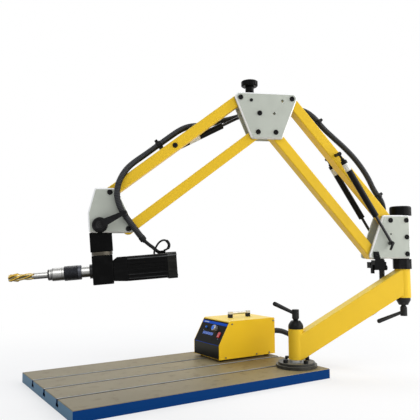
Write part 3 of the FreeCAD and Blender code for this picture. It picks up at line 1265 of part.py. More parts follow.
def make_controls():
    gap = float(S.seat_gap)
    knob = turned("Selector", [
        (0, -8), (S.gas_rod_radius - 1 - S.running_gap, -8), (S.gas_rod_radius - 1 - S.running_gap, 0),
        (S.selector_radius, 0), (S.selector_radius, S.selector_height - 3),
        (S.selector_radius - 1.5, S.selector_height), (0, S.selector_height)])
    node("selector_knob", knob, BOX_FRAME.multiply(panel_place(*SELECTOR_AT, gap)))
    stem = S.button_travel * 3
    button = cylinder("Button", S.button_radius, S.button_height + stem, 0, 0, -stem)
    node("push_button", group("ButtonSeat", button), BOX_FRAME.multiply(panel_place(*BUTTON_AT, gap)))
    body = box("RockerBody", S.rocker_length, S.rocker_width, S.rocker_height + S.rocker_depth, 0, 0,
               -S.rocker_depth)
    bore = cylinder("RockerBore", S.rocker_pin_radius + S.running_gap, S.rocker_width + 2, 0,
                    -S.rocker_width / 2 - 1, -S.seat_gap - S.panel_thickness / 2, BACKWARD)
    node("rocker_switch", cut("Rocker", body, bore), BOX_FRAME.multiply(panel_place(*ROCKER_AT, gap)))


def make_box_fittings():
    """Carry handle, cover screws, hose gland and the drive unit inside."""
    middle_x = -S.box_length / 2 + S.box_slope_run / 2
    rail_z = S.box_height + S.box_handle_rise
    half = S.box_handle_length / 2
    y = S.box_depth / 2
    grip = cylinder("HandleGrip", S.box_handle_radius, S.box_handle_length, middle_x - half, y, rail_z,
                    RIGHTWARD)
    posts = [box("HandlePost%d" % (side + 1), 14, 14, S.box_handle_rise + 6, middle_x + (half - 7) * side, y,
                 S.box_height) for side in (-1, 1)]
    node("control_box_handle", fuse("Handle", grip, *posts), BOX_FRAME)
    high, low = S.box_height - 11, 6
    front = -S.box_length + S.box_slope_run + 10
    spots = [(-7, high), (front, high), (-28, low), (-87, low), (-225, low)]
    screws = [cylinder("BoxScrew%d_%d" % (i, side + 1), 3, 2, x, y + S.box_depth / 2 * side, up,
                       BACKWARD if side > 0 else FORWARD)
              for side in (-1, 1) for i, (x, up) in enumerate(spots)]
    node("control_box_screws", group("BoxScrews", *screws), BOX_FRAME)
    gland = turned("Gland", [
        (0, -4), (S.gland_radius - 3.3, -4), (S.gland_radius - 3.3, 0), (S.gland_radius, 0),
        (S.gland_radius, S.gland_length - 6), (S.hose_radius + 2, S.gland_length),
        (0, S.gland_length)], 0, GLAND_ALONG, GLAND_UP, RIGHTWARD)
    node("hose_gland", group("GlandSeat", gland), BOX_FRAME)
    drive = box("DriveUnit", 150, 110, 80, -S.box_length / 2 + 20, y, S.box_wall)
    fins = [box("DriveFin%d" % i, 150, 3, 12, -S.box_length / 2 + 20, y + (i - 3) * 14, S.box_wall + 79)
            for i in range(7)]
    node("servo_drive", fuse("Drive", drive, *fins), BOX_FRAME)


# ---------------------------------------------------------------- hose and cables

def spot(place_of, across=0.0, along=0.0, up=0.0):
    """A route point: an (x, z) or (x, y, z) place of the arm plus an offset."""
    x, y, z = place_of if len(place_of) == 3 else (place_of[0], 0, place_of[1])
    return float(x) + across, float(y) + along, float(z) + up


def in_head(x, y, z):
    """A point of the tilting head's frame, in the arm's frame."""
    lean = math.radians(float(S.head_lean))
    return (float(TILT[0]) + float(x) * math.cos(lean) - float(z) * math.sin(lean), float(y),
            float(TILT[1]) + float(x) * math.sin(lean) + float(z) * math.cos(lean))


def gland_mouth():
    mouth = BOX_FRAME.multVec(Vector(float(S.gland_length), float(GLAND_ALONG), float(GLAND_UP)))
    inside = ARM.inverse().multVec(mouth)
    return inside.x, inside.y, inside.z


def hose_from_box():
    """From the box's gland, behind the base arm and up to the hanger's ring."""
    mouth, ring = gland_mouth(), (HANGER_RING_X, HOSE_BACK, HANGER_LOW)
    turn_out = math.radians(float(S.arm_turn))
    return [
        mouth, spot(mouth, 40 * math.cos(turn_out), 40 * math.sin(turn_out)), spot(mouth, 84, 12, -22),
        spot(mouth, 124, -18, -40), spot(mouth, 150, -64, -42), spot(mouth, 186, -110, -28),
        spot(ring, -148, 68, -226), spot(ring, -102, 34, -194), spot(ring, -56, 13, -168),
        spot(ring, -16, 4, -144), spot(ring, 1, 0, -104), spot(ring, 0, -1, -54), spot(ring, 0, 0, -8),
        spot(ring, 0, 0, 24)]


def hose_to_elbow():
    """Behind the shoulder, over the right beam's clips and behind the elbow."""
    ring = (HANGER_RING_X, HOSE_BACK, HANGER_LOW)
    across = float(S.right_clip_across)
    low, high = [along_right(d - S.clip_length / 2, S.hose_stand_off) for d in RIGHT_CLIPS]
    c = float(cosine(S.right_link_angle))
    s = float(sine(S.right_link_angle))
    top = (SHOULDER_TOP[0], HOSE_BACK, SHOULDER_TOP[1])
    return [
        spot(ring, 0, 0, 24), spot(ring, 0, 0, 54), spot(top, 21, 0, -74), spot(top, 24, 0.5, -26),
        spot(top, 22, 1, 20), spot(low, 17, across + 1, -21), spot(low, -24 * c, across, 24 * s),
        spot(low, -80 * c + 16 * s, across, 80 * s + 16 * c),
        spot(low, -150 * c + 22 * s, across, 150 * s + 22 * c),
        spot(high, 140 * c + 18 * s, across, -140 * s + 18 * c),
        spot(high, 80 * c + 8 * s, across, -80 * s + 8 * c), spot(high, 26 * c, across, -26 * s),
        spot(high, -26 * c, across, 26 * s), spot(ELBOW_RIGHT, 72, 50, -14),
        spot(ELBOW_RIGHT, 28, 74, -2), spot(ELBOW_RIGHT, -26, 80, -7), spot(ELBOW_RIGHT, -78, 80, -16)]


def hose_to_clip():
    """Behind the elbow and down to the left beam's clip."""
    clip = along_left(LEFT_CLIP - S.clip_length / 2, S.left_stand_off)
    c = float(cosine(S.left_link_angle))
    s = float(sine(S.left_link_angle))
    return [
        spot(ELBOW_RIGHT, -78, 80, -16), spot(ELBOW_RIGHT, -78 - 52, 80, -16 - 9),
        spot(ELBOW_LEFT, 2, 80, -45), spot(ELBOW_LEFT, -54, 78, -60), spot(clip, 168, 62, 83),
        spot(clip, 122, 40, 72), spot(clip, 78, 16, 57), spot(clip, 28 * c, 0, 28 * s),
        spot(clip, -26 * c, 0, -26 * s)]


def hose_to_motor():
    """From the left beam's clip, over the front of the head and down to the motor."""
    clip = along_left(LEFT_CLIP - S.clip_length / 2, S.left_stand_off)
    c = float(cosine(S.left_link_angle))
    s = float(sine(S.left_link_angle))
    top = (HEAD_TOP[0], FRONT_RUN, HEAD_TOP[1])
    return [
        spot(clip, -26 * c, 0, -26 * s), spot(clip, -58 * c, 0, -58 * s), spot(top, 66, 38, 94),
        spot(top, 42, 18, 62), spot(top, 25, 4, 24), spot(top, 22, 0, -16), spot(top, 33, 0, -52),
        spot(top, 51, 0, -80), spot(top, 70, 0, -106), spot(top, 91, 5, -132), spot(top, 104, 14, -150)]


def cable_to_motor():
    top = (HEAD_TOP[0], FRONT_RUN, HEAD_TOP[1])
    plug = in_head(CONNECTOR_X + 3, 0, CONNECTOR_Z + 5)
    return [spot(top, 104, 14, -150), spot(top, 115, 21.6, -165.2), spot(top, 129, 33, -179),
            spot(plug, -15, -9, 7), plug]


def loop_cable():
    """A small free loop from the connector's top back down to the motor."""
    seat = in_head(CONNECTOR_X + S.connector_length - 3, 6, CONNECTOR_Z + S.connector_height)
    corners = 9
    step = 360 / corners
    reach = float(S.loop_radius) / math.cos(math.radians(step / 2)) * 1.11
    middle = spot(seat, -0.7 * reach, 0, 0.75 * reach)
    points = [seat]
    for i in range(6):
        angle = math.radians(-step / 2 + i * step)
        points.append(spot(middle, reach * math.cos(angle), -3 * i, reach * math.sin(angle)))
    foot = in_head(CONNECTOR_X - 11, -22, CONNECTOR_Z)
    return points + [spot(foot, 0.5, 1.5, 17), foot]


def make_hose():
    node("hose_lower", group("HoseLower", tube("HoseFromBox", hose_from_box(), S.hose_radius)), ARM)
    node("hose_right", group("HoseRight", tube("HoseToElbow", hose_to_elbow(), S.hose_radius)), ARM)
    node("hose_left", group("HoseLeft", tube("HoseToClip", hose_to_clip(), S.hose_radius)), ARM)
    pieces = [tube("HoseToMotor", hose_to_motor(), S.hose_radius),
              tube("CableToMotor", cable_to_motor(), S.cable_radius),
              tube("LoopCable", loop_cable(), S.loop_cable_radius)]
    node("hose_head", group("HoseHead", *pieces), ARM)


# ---------------------------------------------------------------- build, check and write

def build():
    make_table()
    make_foot()
    make_column()
    make_base_arm()
    make_clamps()
    make_post()
    make_shoulder_hub()
    make_shoulder_plates()
    make_shoulder_fasteners()
    make_post_cap()
    make_hose_hanger()
    make_beams()
    make_beam_fittings()
    make_gas_springs()
    make_elbow_plates()
    make_elbow_inside()
    make_star_knob()
    make_head_plates()
    make_tilt_lever()
    make_neck()
    make_gearbox()
    make_motor()
    make_spindle()
    make_box()
    make_controls()
    make_box_fittings()
    make_hose()
    doc.recompute()


def check():
    """Stop before anything is written if an object failed or a shape is empty or invalid."""
    faults = ["%s: %s" % (obj.Label, obj.State) for obj in doc.Objects
              if "Invalid" in obj.State or "Error" in obj.State]
    faults += ["%s has no valid solid" % obj.Label for obj in nodes
               if obj.Shape.isNull() or not obj.Shape.isValid() or not obj.Shape.Solids]
    if faults:
        raise RuntimeError("; ".join(faults))


build()
check()
os.makedirs("parts", exist_ok=True)
for piece in nodes:
    piece.Shape.exportStep("parts/%s.step" % piece.Label)
print("%d nodes written" % len(nodes))
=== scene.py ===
"""Looks of the arm tapping machine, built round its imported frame.

Sizes are written in millimetres and turned into the frame's metres where a piece is placed. Places on
the arm are given in the arm's own upright plane: along it to the right, through its thickness away from
the viewer, and up from the table's top face, with the column's axis as the origin.
"""
import logging
import math
from collections.abc import Callable, Iterable, Sequence
from dataclasses import dataclass
from enum import Enum

import bpy
from mathutils import Matrix, Vector


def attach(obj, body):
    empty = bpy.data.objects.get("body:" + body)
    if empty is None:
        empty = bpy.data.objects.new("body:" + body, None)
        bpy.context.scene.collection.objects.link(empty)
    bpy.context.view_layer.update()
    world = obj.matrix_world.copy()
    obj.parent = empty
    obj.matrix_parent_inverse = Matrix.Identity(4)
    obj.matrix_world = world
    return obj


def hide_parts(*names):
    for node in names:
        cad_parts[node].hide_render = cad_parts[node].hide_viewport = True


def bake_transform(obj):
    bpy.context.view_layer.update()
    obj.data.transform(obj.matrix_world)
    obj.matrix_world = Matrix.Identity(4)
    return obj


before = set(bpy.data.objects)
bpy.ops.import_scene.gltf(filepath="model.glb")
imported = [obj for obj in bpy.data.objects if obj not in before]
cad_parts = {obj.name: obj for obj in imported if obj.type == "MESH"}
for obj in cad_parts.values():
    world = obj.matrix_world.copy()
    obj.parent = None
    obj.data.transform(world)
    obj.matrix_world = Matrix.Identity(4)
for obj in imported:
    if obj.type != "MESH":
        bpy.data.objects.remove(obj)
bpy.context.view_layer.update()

MM = 0.001
UP = Vector((0, 0, 1))
LOG = logging.getLogger("tapping_machine")

Place = tuple[float, float, float]
Colour = tuple[float, float, float, float]
Pairs = Sequence[tuple[float, float]]


def heading(degrees: float) -> tuple[float, float]:
    """The cosine and the sine of an angle in degrees."""
    turn = math.radians(degrees)
    return math.cos(turn), math.sin(turn)


def moved(x: float, y: float, z: float) -> Matrix:
    """A move along the three axes."""
    return Matrix.Translation(Vector((x, y, z)))


def rotated(degrees: float, axis: str) -> Matrix:
    """A turn about one axis."""
    return Matrix.Rotation(math.radians(degrees), 4, axis)


def aimed(direction: Vector) -> Matrix:
    """A turn that points Z along a direction."""
    return direction.to_track_quat("Z", "Y").to_matrix().to_4x4()


# ------------------------------------------------------------------ places

@dataclass(frozen=True)
class ArmLayout:
    """Driving sizes of the machine and the places that follow from them, in millimetres.

    The sizes repeat those of the construction, so that a piece made here sits on what carries it.
    """

    column: Place = (370.0, -178.0, 32.0)
    arm_turn: float = 22.3
    shoulder_top: tuple[float, float] = (343.0, 500.0)
    link_drop: float = 119.0
    link_length: float = 550.0
    right_angle: float = 50.1
    left_angle: float = 37.0
    elbow_span: float = 182.6
    tilt_back: float = 31.0
    tilt_drop: float = 107.0
    head_lean: float = 4.0
    plate_outer: float = 40.0
    hose_radius: float = 9.5
    hose_back_gap: float = 1.5
    hose_front_gap: float = 4.5
    right_upper_stud: float = 299.0
    right_lower_stud: Place = (337.0, 0.0, 419.0)
    left_upper_stud: float = 281.0
    left_lower_stud: tuple[float, float] = (19.5, -45.0)
    stud_across: float = 55.0
    gearbox_face: float = -33.0
    spindle_axis: float = 147.0
    box_corner: Place = (438.0, 24.0, 40.0)
    panel_fold: Place = (-253.0, 0.0, 51.0)
    panel_run: float = 47.0
    panel_rise: float = 83.0

    @property
    def elbow_right(self) -> Place:
        """Pivot of the upper right beam in the elbow."""
        return self.on_right_beam(self.link_length)

    @property
    def elbow_left(self) -> Place:
        """Pivot of the upper left beam in the elbow."""
        return self.shift(self.elbow_right, -self.elbow_span)

    @property
    def head_top(self) -> Place:
        """Pivot of the upper left beam in the head."""
        return self.on_left_beam(self.link_length)

    @property
    def tilt(self) -> Place:
        """Axis on which the motor head tilts."""
        return self.shift(self.head_top, -self.tilt_back, 0.0, -self.tilt_drop)

    @property
    def hose_back(self) -> float:
        """How far behind the arm's middle the hose runs past the rear plates."""
        return self.plate_outer + self.hose_radius + self.hose_back_gap

    @property
    def hose_front(self) -> float:
        """Where the hose runs past the head's front plate."""
        return -(self.plate_outer + self.hose_radius + self.hose_front_gap)

    @staticmethod
    def shift(place: Place, across: float = 0.0, along: float = 0.0, up: float = 0.0) -> Place:
        """A place moved along the arm, through its thickness and upwards."""
        return (place[0] + across, place[1] + along, place[2] + up)

    def on_right_beam(self, distance: float, off: float = 0.0) -> Place:
        """A place on the upper right beam.

        Args:
            distance: how far from the shoulder's pivot, along the beam.
            off: how far off the beam's axis, outwards.

        Returns:
            The place in the arm's plane.
        """
        c, s = heading(self.right_angle)
        x, z = self.shoulder_top
        return (x - c * distance + s * off, 0.0, z + s * distance + c * off)

    def on_left_beam(self, distance: float, off: float = 0.0) -> Place:
        """A place on the upper left beam, a distance from the elbow's pivot and off its axis."""
        c, s = heading(self.left_angle)
        x, _, z = self.elbow_left
        return (x - c * distance - s * off, 0.0, z - s * distance + c * off)

    def gas_matrix(self, side: int) -> Matrix:
        """A gas spring's frame: Z runs down its axis from the centre of its upper stud.

        Args:
            side: -1 in front of the right beam, 1 behind it, 0 behind the left beam.

        Returns:
            The matrix from millimetres in the spring's frame to metres in the frame.
        """
        if side:
            upper, lower = self.on_right_beam(self.right_upper_stud), self.right_lower_stud
        else:
            across, up = self.left_lower_stud
            upper = self.on_left_beam(self.left_upper_stud)
            lower = self.shift(self.elbow_left, across, 0.0, up)
        middle = self.shift(upper, 0.0, self.stud_across * (side or 1))
        return self.arm_matrix() @ moved(*middle) @ aimed(Vector(lower) - Vector(upper))

    def arm_matrix(self) -> Matrix:
        """Turns millimetres in the arm's plane into metres in the frame."""
        return Matrix.Scale(MM, 4) @ moved(*self.column) @ rotated(-self.arm_turn, "Z")

    def head_matrix(self) -> Matrix:
        """Turns millimetres in the tilting head's own frame into metres in the frame."""
        return self.arm_matrix() @ moved(*self.tilt) @ rotated(-self.head_lean, "Y")

    def spindle_matrix(self) -> Matrix:
        """The head's frame moved onto the spindle: Z runs out along the tool from the gearbox's face."""
        outlet = moved(self.gearbox_face, 0.0, -self.spindle_axis)
        return self.head_matrix() @ outlet @ rotated(-90.0, "Y")

    def box_matrix(self) -> Matrix:
        """Turns millimetres from the control box's rear lower corner into metres in the frame."""
        return Matrix.Scale(MM, 4) @ moved(*self.box_corner)

    def panel_matrix(self) -> Matrix:
        """The slanted panel's frame: X up its slope, Y along it away from the viewer, Z out of it."""
        slope = Matrix.Rotation(math.atan2(self.panel_run, self.panel_rise) - math.pi / 2, 4, "Y")
        return self.box_matrix() @ moved(*self.panel_fold) @ slope

    def world(self, place: Place) -> Vector:
        """A place of the arm's plane in the frame, in metres."""
        return self.arm_matrix() @ Vector(place)

    def in_head(self, x: float, y: float, z: float) -> Place:
        """A point of the tilting head's frame, as a place of the arm's plane."""
        c, s = heading(self.head_lean)
        return (self.tilt[0] + x * c - z * s, y, self.tilt[2] + x * s + z * c)

    def from_box(self, x: float, y: float, z: float) -> Place:
        """A point of the control box's frame, as a place of the arm's plane."""
        point = self.arm_matrix().inverted() @ (self.box_matrix() @ Vector((x, y, z)))
        return (point.x, point.y, point.z)


LAYOUT = ArmLayout()


# ------------------------------------------------------------------ shader arithmetic

def math_node(operation: str, swapped: bool = False) -> Callable[..., "Signal"]:
    """Make a method of Signal that adds one Math node.

    Args:
        operation: what the node works out.
        swapped: whether the signal itself comes after the other value.

    Returns:
        The method, which takes the node's other values.
    """
    def method(self: "Signal", *others: "Signal | float") -> "Signal":
        """Add the node and hand back its result."""
        values = (*others, self) if swapped else (self, *others)
        return self.sheet.node("ShaderNodeMath", {"operation": operation}, dict(enumerate(values)))
    return method


class Signal:
    """One output of a shader node, usable in plain arithmetic that adds its Math nodes."""

    __add__ = __radd__ = math_node("ADD")
    __mul__ = __rmul__ = math_node("MULTIPLY")
    __sub__ = math_node("SUBTRACT")
    __rsub__ = math_node("SUBTRACT", swapped=True)
    __truediv__ = math_node("DIVIDE")
    size = math_node("ABSOLUTE")
    power = math_node("POWER")
    angle_to = math_node("ARCTAN2")
    pingpong = math_node("PINGPONG")

    def __init__(self, sheet: "NodeSheet", socket: bpy.types.NodeSocket) -> None:
        """Wrap a socket of a sheet's node."""
        self.sheet = sheet
        self.socket = socket

    def reach(self, other: "Signal") -> "Signal":
        """Distance of the point (self, other) from the origin."""
        return (self * self + other * other).power(0.5)

    def wave(self) -> "Signal":
        """Distance to the nearest whole number, 0 to 0.5."""
        return self.pingpong(0.5)

    def above(self, edge: float, soft: float) -> "Signal":
        """Mask that rises from 0 to 1 over a soft width, and is a half at the edge."""
        settings = {"interpolation_type": "SMOOTHSTEP"}
        return self.sheet.node("ShaderNodeMapRange", settings,
                               {0: self, 1: edge - soft / 2, 2: edge + soft / 2})

    def below(self, edge: float, soft: float) -> "Signal":
        """Mask that falls from 1 to 0 over a soft width."""
        return 1 - self.above(edge, soft)

    def within(self, low: float, high: float, soft: float) -> "Signal":
        """Mask that is 1 between two edges."""
        return self.above(low, soft) * self.below(high, soft)


class NodeSheet:
    """The node tree of a material or world, with the few kinds of node that the looks need."""

    sockets = {"tone": "Base Color", "roughness": "Roughness", "specular": "Specular IOR Level",
               "metallic": "Metallic", "coat": "Coat Weight", "coat_roughness": "Coat Roughness",
               "normal": "Normal"}

    def __init__(self, owner: bpy.types.Material | bpy.types.World) -> None:
        """Start with an empty tree."""
        self.owner = owner
        owner.use_nodes = True
        self.tree = owner.node_tree
        self.tree.nodes.clear()

    def node(self, kind: str, settings: dict[str, object] | None = None,
             inputs: dict[int | str, object] | None = None, output: int | str = 0) -> "Signal | None":
        """Add a node.

        Args:
            kind: the node's type.
            settings: its own settings, set before its sockets; "stops" fills a colour ramp.
            inputs: a value or a Signal for each socket, by name or number.
            output: which output to hand back.

        Returns:
            The chosen output, or None for a node without outputs.
        """
        added = self.tree.nodes.new(kind)
        for key, value in (settings or {}).items():
            if key == "stops":
                self._fill_ramp(added.color_ramp.elements, value)
            else:
                setattr(added, key, value)
        for key, value in (inputs or {}).items():
            if isinstance(value, Signal):
                self.tree.links.new(value.socket, added.inputs[key])
            else:
                added.inputs[key].default_value = value
        return Signal(self, added.outputs[output]) if added.outputs else None

    @staticmethod
    def _fill_ramp(elements: bpy.types.ColorRampElements, stops: Pairs) -> None:
        """Give a colour ramp its (position, brightness) stops."""
        while len(elements) < len(stops):
            elements.new(1.0)
        for element, (position, brightness) in zip(elements, stops):
            element.position = position
            element.color = grey(brightness)

    def place(self) -> Signal:
        """The surface point in the piece's own coordinates, in metres."""
        return self.node("ShaderNodeTexCoord", output="Object")

    def dot(self, what: Signal, direction: Vector) -> Signal:
        """How far a vector reaches along a direction."""
        return self.node("ShaderNodeVectorMath", {"operation": "DOT_PRODUCT"},
                         {0: what, 1: direction}, output="Value")

    def facing(self, direction: Vector = UP) -> Signal:
        """How far the surface, in the piece's own axes, faces a direction: 1 straight, -1 away."""
        return self.dot(self.node("ShaderNodeTexCoord", output="Normal"), direction)

    def project(self, direction: Vector, origin: Vector = Vector((0, 0, 0))) -> Signal:
        """How far the surface point lies from an origin along a direction."""
        offset = self.node("ShaderNodeVectorMath", {"operation": "SUBTRACT"},
                           {0: self.place(), 1: origin})
        return self.dot(offset, direction)

    def frame_place(self, matrix: Matrix) -> tuple[Signal, Signal, Signal]:
        """The surface point along the three axes of a millimetre frame, in millimetres."""
        axes = matrix.to_3x3().normalized().transposed()
        return tuple(self.project(axis / MM, matrix.translation) for axis in axes)

    def grain(self, scale: float, detail: float = 3.0, stretch: Place = (1.0, 1.0, 1.0)) -> Signal:
        """Noise, fine or stretched.

        Args:
            scale: features per metre.
            detail: layers of finer noise.
            stretch: how the pattern is squeezed along each axis.

        Returns:
            A value about 0.5.
        """
        spread = self.node("ShaderNodeVectorMath", {"operation": "MULTIPLY"},
                           {0: self.place(), 1: stretch})
        return self.node("ShaderNodeTexNoise", {}, {"Vector": spread, "Scale": scale, "Detail": detail})

    def rings(self, along: Signal, scale: float) -> Signal:
        """Noise about 0.5 that changes with one distance only."""
        return self.node("ShaderNodeTexNoise", {"noise_dimensions": "1D"},
                         {"W": along, "Scale": scale, "Detail": 2.0})

    def blend(self, mask: Signal | float, low: Signal | Colour, high: Signal | Colour) -> Signal:
        """Mix two colours by a mask."""
        return self.node("ShaderNodeMix", {"data_type": "RGBA"}, {0: mask, 6: low, 7: high}, output=2)

    def shaded(self, mask: Signal, colour: Colour, low: float, high: float) -> Signal:
        """One colour, made darker or lighter by a mask between two factors."""
        return self.blend(mask, shade(colour, low), shade(colour, high))

    def toned(self, tone: Signal, stops: Pairs, direction: Vector = UP) -> Signal:
        """A colour with painted light and shade: made lighter or darker by how far the surface faces a
        direction.

        Args:
            tone: the colour.
            stops: (position, brightness) pairs, from 0 facing away to 1 facing straight.
            direction: the direction, in the piece's own axes.

        Returns:
            The changed colour.
        """
        ramp = self.node("ShaderNodeValToRGB", {"stops": stops},
                         {"Fac": self.facing(direction) * 0.5 + 0.5})
        return self.node("ShaderNodeMix", {"data_type": "RGBA", "blend_type": "MULTIPLY"},
                         {0: 1.0, 6: tone, 7: ramp}, output=2)

    def bump(self, height: Signal, strength: float, distance: float = 0.0003) -> Signal:
        """A normal from a height."""
        return self.node("ShaderNodeBump", {}, {"Height": height, "Strength": strength,
                                                "Distance": distance})

    def mix_shaders(self, mask: Signal, low: Signal, high: Signal) -> Signal:
        """Mix two shaders by a mask."""
        return self.node("ShaderNodeMixShader", {}, {0: mask, 1: low, 2: high})

    def close(self, surface: Signal, kind: str = "ShaderNodeOutputMaterial") -> None:
        """Add the output node."""
        self.node(kind, {}, {"Surface": surface})


def shade(colour: Colour, factor: float) -> Colour:
    """A colour made lighter or darker by a factor."""
    return (colour[0] * factor, colour[1] * factor, colour[2] * factor, 1.0)


def grey(level: float) -> Colour:
    """A neutral colour."""
    return (level, level, level, 1.0)


# ------------------------------------------------------------------ finishes

Mix = dict[str, Signal | float]


class Recipe:
    """A finish: what its material's surface shader is given."""

    name: str

    def make(self) -> bpy.types.Material:
        """Build the material."""
        sheet = NodeSheet(bpy.data.materials.new(self.name))
        inputs = {sheet.sockets[key]: value for key, value in self.mix(sheet).items()}
        sheet.close(sheet.node("ShaderNodeBsdfPrincipled", {}, inputs))
        return sheet.owner


@dataclass(frozen=True)
class PowderCoat(Recipe):
    """Smooth baked paint with a faint orange peel; painted light makes its upward faces a lighter
    yellow.
    """

    name: str
    colour: Colour
    painted_top_light: Colour = (1.0, 0.78, 0.12, 1.0)
    roughness: float = 0.38
    specular: float = 0.14
    coat: float = 0.03

    def mix(self, sheet: NodeSheet) -> Mix:
        """Mix the paint."""
        cloud = sheet.grain(6.0)
        # Painted light: faces that point up are drawn in a lighter yellow, a little patchy.
        top_light_mask = sheet.facing().above(0.55, 0.4)
        tone = sheet.shaded(cloud.above(0.5, 0.6), self.colour, 0.97, 1.03)
        return {"tone": sheet.blend(top_light_mask * (0.35 + cloud * 0.4), tone, self.painted_top_light),
                "roughness": self.roughness + cloud * 0.10, "specular": self.specular,
                "coat": self.coat, "coat_roughness": 0.2,
                "normal": sheet.bump(sheet.grain(240.0, 1.0), 0.01, 0.0004)}


@dataclass(frozen=True)
class ChamferedPlate(Recipe):
    """Satin pale plate with chamfers milled after painting, bare metal drawn near white by painted light
    where they face up and darker by painted shade where they face down.
    """

    name: str = "satin_plate"
    face: Colour = (0.425, 0.447, 0.388, 1.0)
    edge: Colour = (0.93, 0.935, 0.92, 1.0)
    shaded_chamfer: Colour = (0.56, 0.555, 0.51, 1.0)

    def mix(self, sheet: NodeSheet) -> Mix:
        """Mix the face and the chamfers."""
        chamfer = sheet.facing(Turned.THROUGH_ARM.direction()).size().within(0.25, 0.93, 0.08)
        scuff = sheet.grain(260.0, 2.0, (1.0, 1.0, 0.2))
        tone = sheet.shaded(sheet.grain(16.0, 4.0).above(0.5, 0.4), self.face, 0.97, 1.03)
        # Painted light and shade: chamfers facing up take the near-white colour, those facing down the
        # darker one.
        milled = sheet.blend(sheet.facing().above(-0.38, 0.5), self.shaded_chamfer, self.edge)
        return {"tone": sheet.blend(chamfer, tone, milled),
                "roughness": 0.46 + scuff * 0.12 - chamfer * 0.10,
                "specular": 0.3, "metallic": chamfer * 0.1, "normal": sheet.bump(scuff, 0.06)}


@dataclass(frozen=True)
class GroundTable(Recipe):
    """Ground cast-iron top with crosswise grinding marks, duller towards its left end.

    Its slots and its underside are near black as painted shade, with a painted highlight on the slots'
    lips that face the viewer, and its sides are painted blue, drawn lighter on the left end as a painted
    reflection. Its measures are in metres.
    """

    name: str = "ground_table"
    light: Colour = (0.40, 0.32, 0.15, 1.0)
    dull: Colour = (0.225, 0.20, 0.13, 1.0)
    dark: Colour = (0.15, 0.125, 0.08, 1.0)
    stain: Colour = (0.12, 0.085, 0.045, 1.0)
    # Near black: painted shade in the slots and under the table.
    slot: Colour = (0.016, 0.014, 0.012, 1.0)
    paint: Colour = (0.0, 0.033, 0.145, 1.0)
    end_reflection: Colour = (0.055, 0.150, 0.240, 1.0)
    lip_highlight: Colour = (0.50, 0.51, 0.50, 1.0)
    half_length: float = 0.440
    half_depth: float = 0.265
    side_skin: float = 0.0012
    top: float = 0.032
    top_skin: float = 0.002
    lip_height: float = 0.0022

    def mix(self, sheet: NodeSheet) -> Mix:
        """Mix the ground top, the slots and the painted sides."""
        height = sheet.project(UP)
        across, deep = sheet.project(Vector((1, 0, 0))), sheet.project(Vector((0, 1, 0)))
        ground = sheet.facing().above(0.3, 0.1) * height.above(self.top - self.top_skin, 0.001)
        rim = 1 - (across.size().below(self.half_length - self.side_skin, 0.0004)
                   * deep.size().below(self.half_depth - self.side_skin, 0.0004))
        marks = sheet.grain(60.0, 5.0, (14.0, 0.25, 1.0))
        patches = sheet.grain(7.0, 6.0, (1.0, 1.6, 1.0))
        stains = sheet.grain(28.0, 6.0).above(0.62, 0.16) * 0.45
        light = sheet.blend(across.above(0.05, 0.8), self.dull, self.light)
        iron = sheet.blend(marks * 0.55 + patches * 0.6 - 0.08, self.dark, light)
        iron = sheet.blend(stains, iron, self.stain)
        # Painted reflection: the blue paint on the left end is drawn lighter.
        end = sheet.facing(Vector((-1, 0, 0))).above(0.5, 0.2)
        front = sheet.facing(Vector((0, -1, 0))).above(0.5, 0.2)
        # Painted highlight on the slots' lips that face the viewer.
        lip_highlight = height.above(self.top - self.lip_height, 0.0006) * front
        # Inside the outline, slot walls and underside take the near-black painted shade.
        body = sheet.blend(rim, sheet.blend(lip_highlight, self.slot, self.lip_highlight),
                           sheet.blend(end, self.paint, self.end_reflection))
        return {"tone": sheet.blend(ground, body, iron), "specular": 0.06,
                "roughness": 0.36 + marks * 0.22 * ground, "metallic": ground * 0.35,
                "normal": sheet.bump(marks * ground + sheet.grain(220.0, 2.0) * 0.2, 0.25, 0.0006)}


@dataclass(frozen=True)
class DarkMetal(Recipe):
    """Blackened or painted dark metal: satin, with lighter rubbed spots."""

    name: str
    colour: Colour = (0.008, 0.008, 0.0085, 1.0)
    rubbed: Colour = (0.028, 0.028, 0.029, 1.0)
    roughness: float = 0.34
    specular: float = 0.16
    pits: float = 0.12

    def mix(self, sheet: NodeSheet) -> Mix:
        """Mix the dark ground and its rubbed spots."""
        cloud = sheet.grain(40.0, 5.0)
        return {"tone": sheet.blend(cloud.above(0.62, 0.25) * 0.5, self.colour, self.rubbed),
                "specular": self.specular, "roughness": self.roughness + cloud * 0.14,
                "normal": sheet.bump(sheet.grain(700.0, 2.0), self.pits)}


@dataclass(frozen=True)
class MotorCase(Recipe):
    """Black painted motor with thin painted highlight lines along its sides, where its rounded corners
    would catch the light.

    The lines are (height, half width, share) in the tilting head's own frame, in millimetres. They
    run on the case's flanks only, behind the gearbox.
    """

    name: str
    colour: Colour = grey(0.0025)
    glint: Colour = (0.30, 0.31, 0.31, 1.0)
    roughness: float = 0.24
    specular: float = 0.045
    flank: float = 33.0
    gearbox_end: float = 80.0
    lines: tuple[tuple[float, float, float], ...] = (
        (-115.5, 0.9, 0.55), (-112.5, 0.5, 0.16), (-166.0, 0.8, 0.12), (-178.5, 0.7, 0.22))

    def mix(self, sheet: NodeSheet) -> Mix:
        """Mix the black ground and its bright lines."""
        along, away, up = sheet.frame_place(LAYOUT.head_matrix())
        cloud = sheet.grain(26.0, 4.0, (1.0, 1.0, 6.0))
        tone = sheet.shaded(cloud.above(0.5, 0.5), self.colour, 1.0, 2.2)
        side = away.size().above(self.flank, 3.0) * along.above(self.gearbox_end, 1.0)
        # Painted highlights: thin pale lines on the case's flanks.
        for height, half, share in self.lines:
            line = up.within(height - half, height + half, 0.8) * side
            tone = sheet.blend(line * (cloud * 1.6 - 0.2) * share, tone, self.glint)
        return {"tone": tone, "roughness": self.roughness + cloud * 0.1, "specular": self.specular,
                "normal": sheet.bump(sheet.grain(600.0, 2.0), 0.05)}


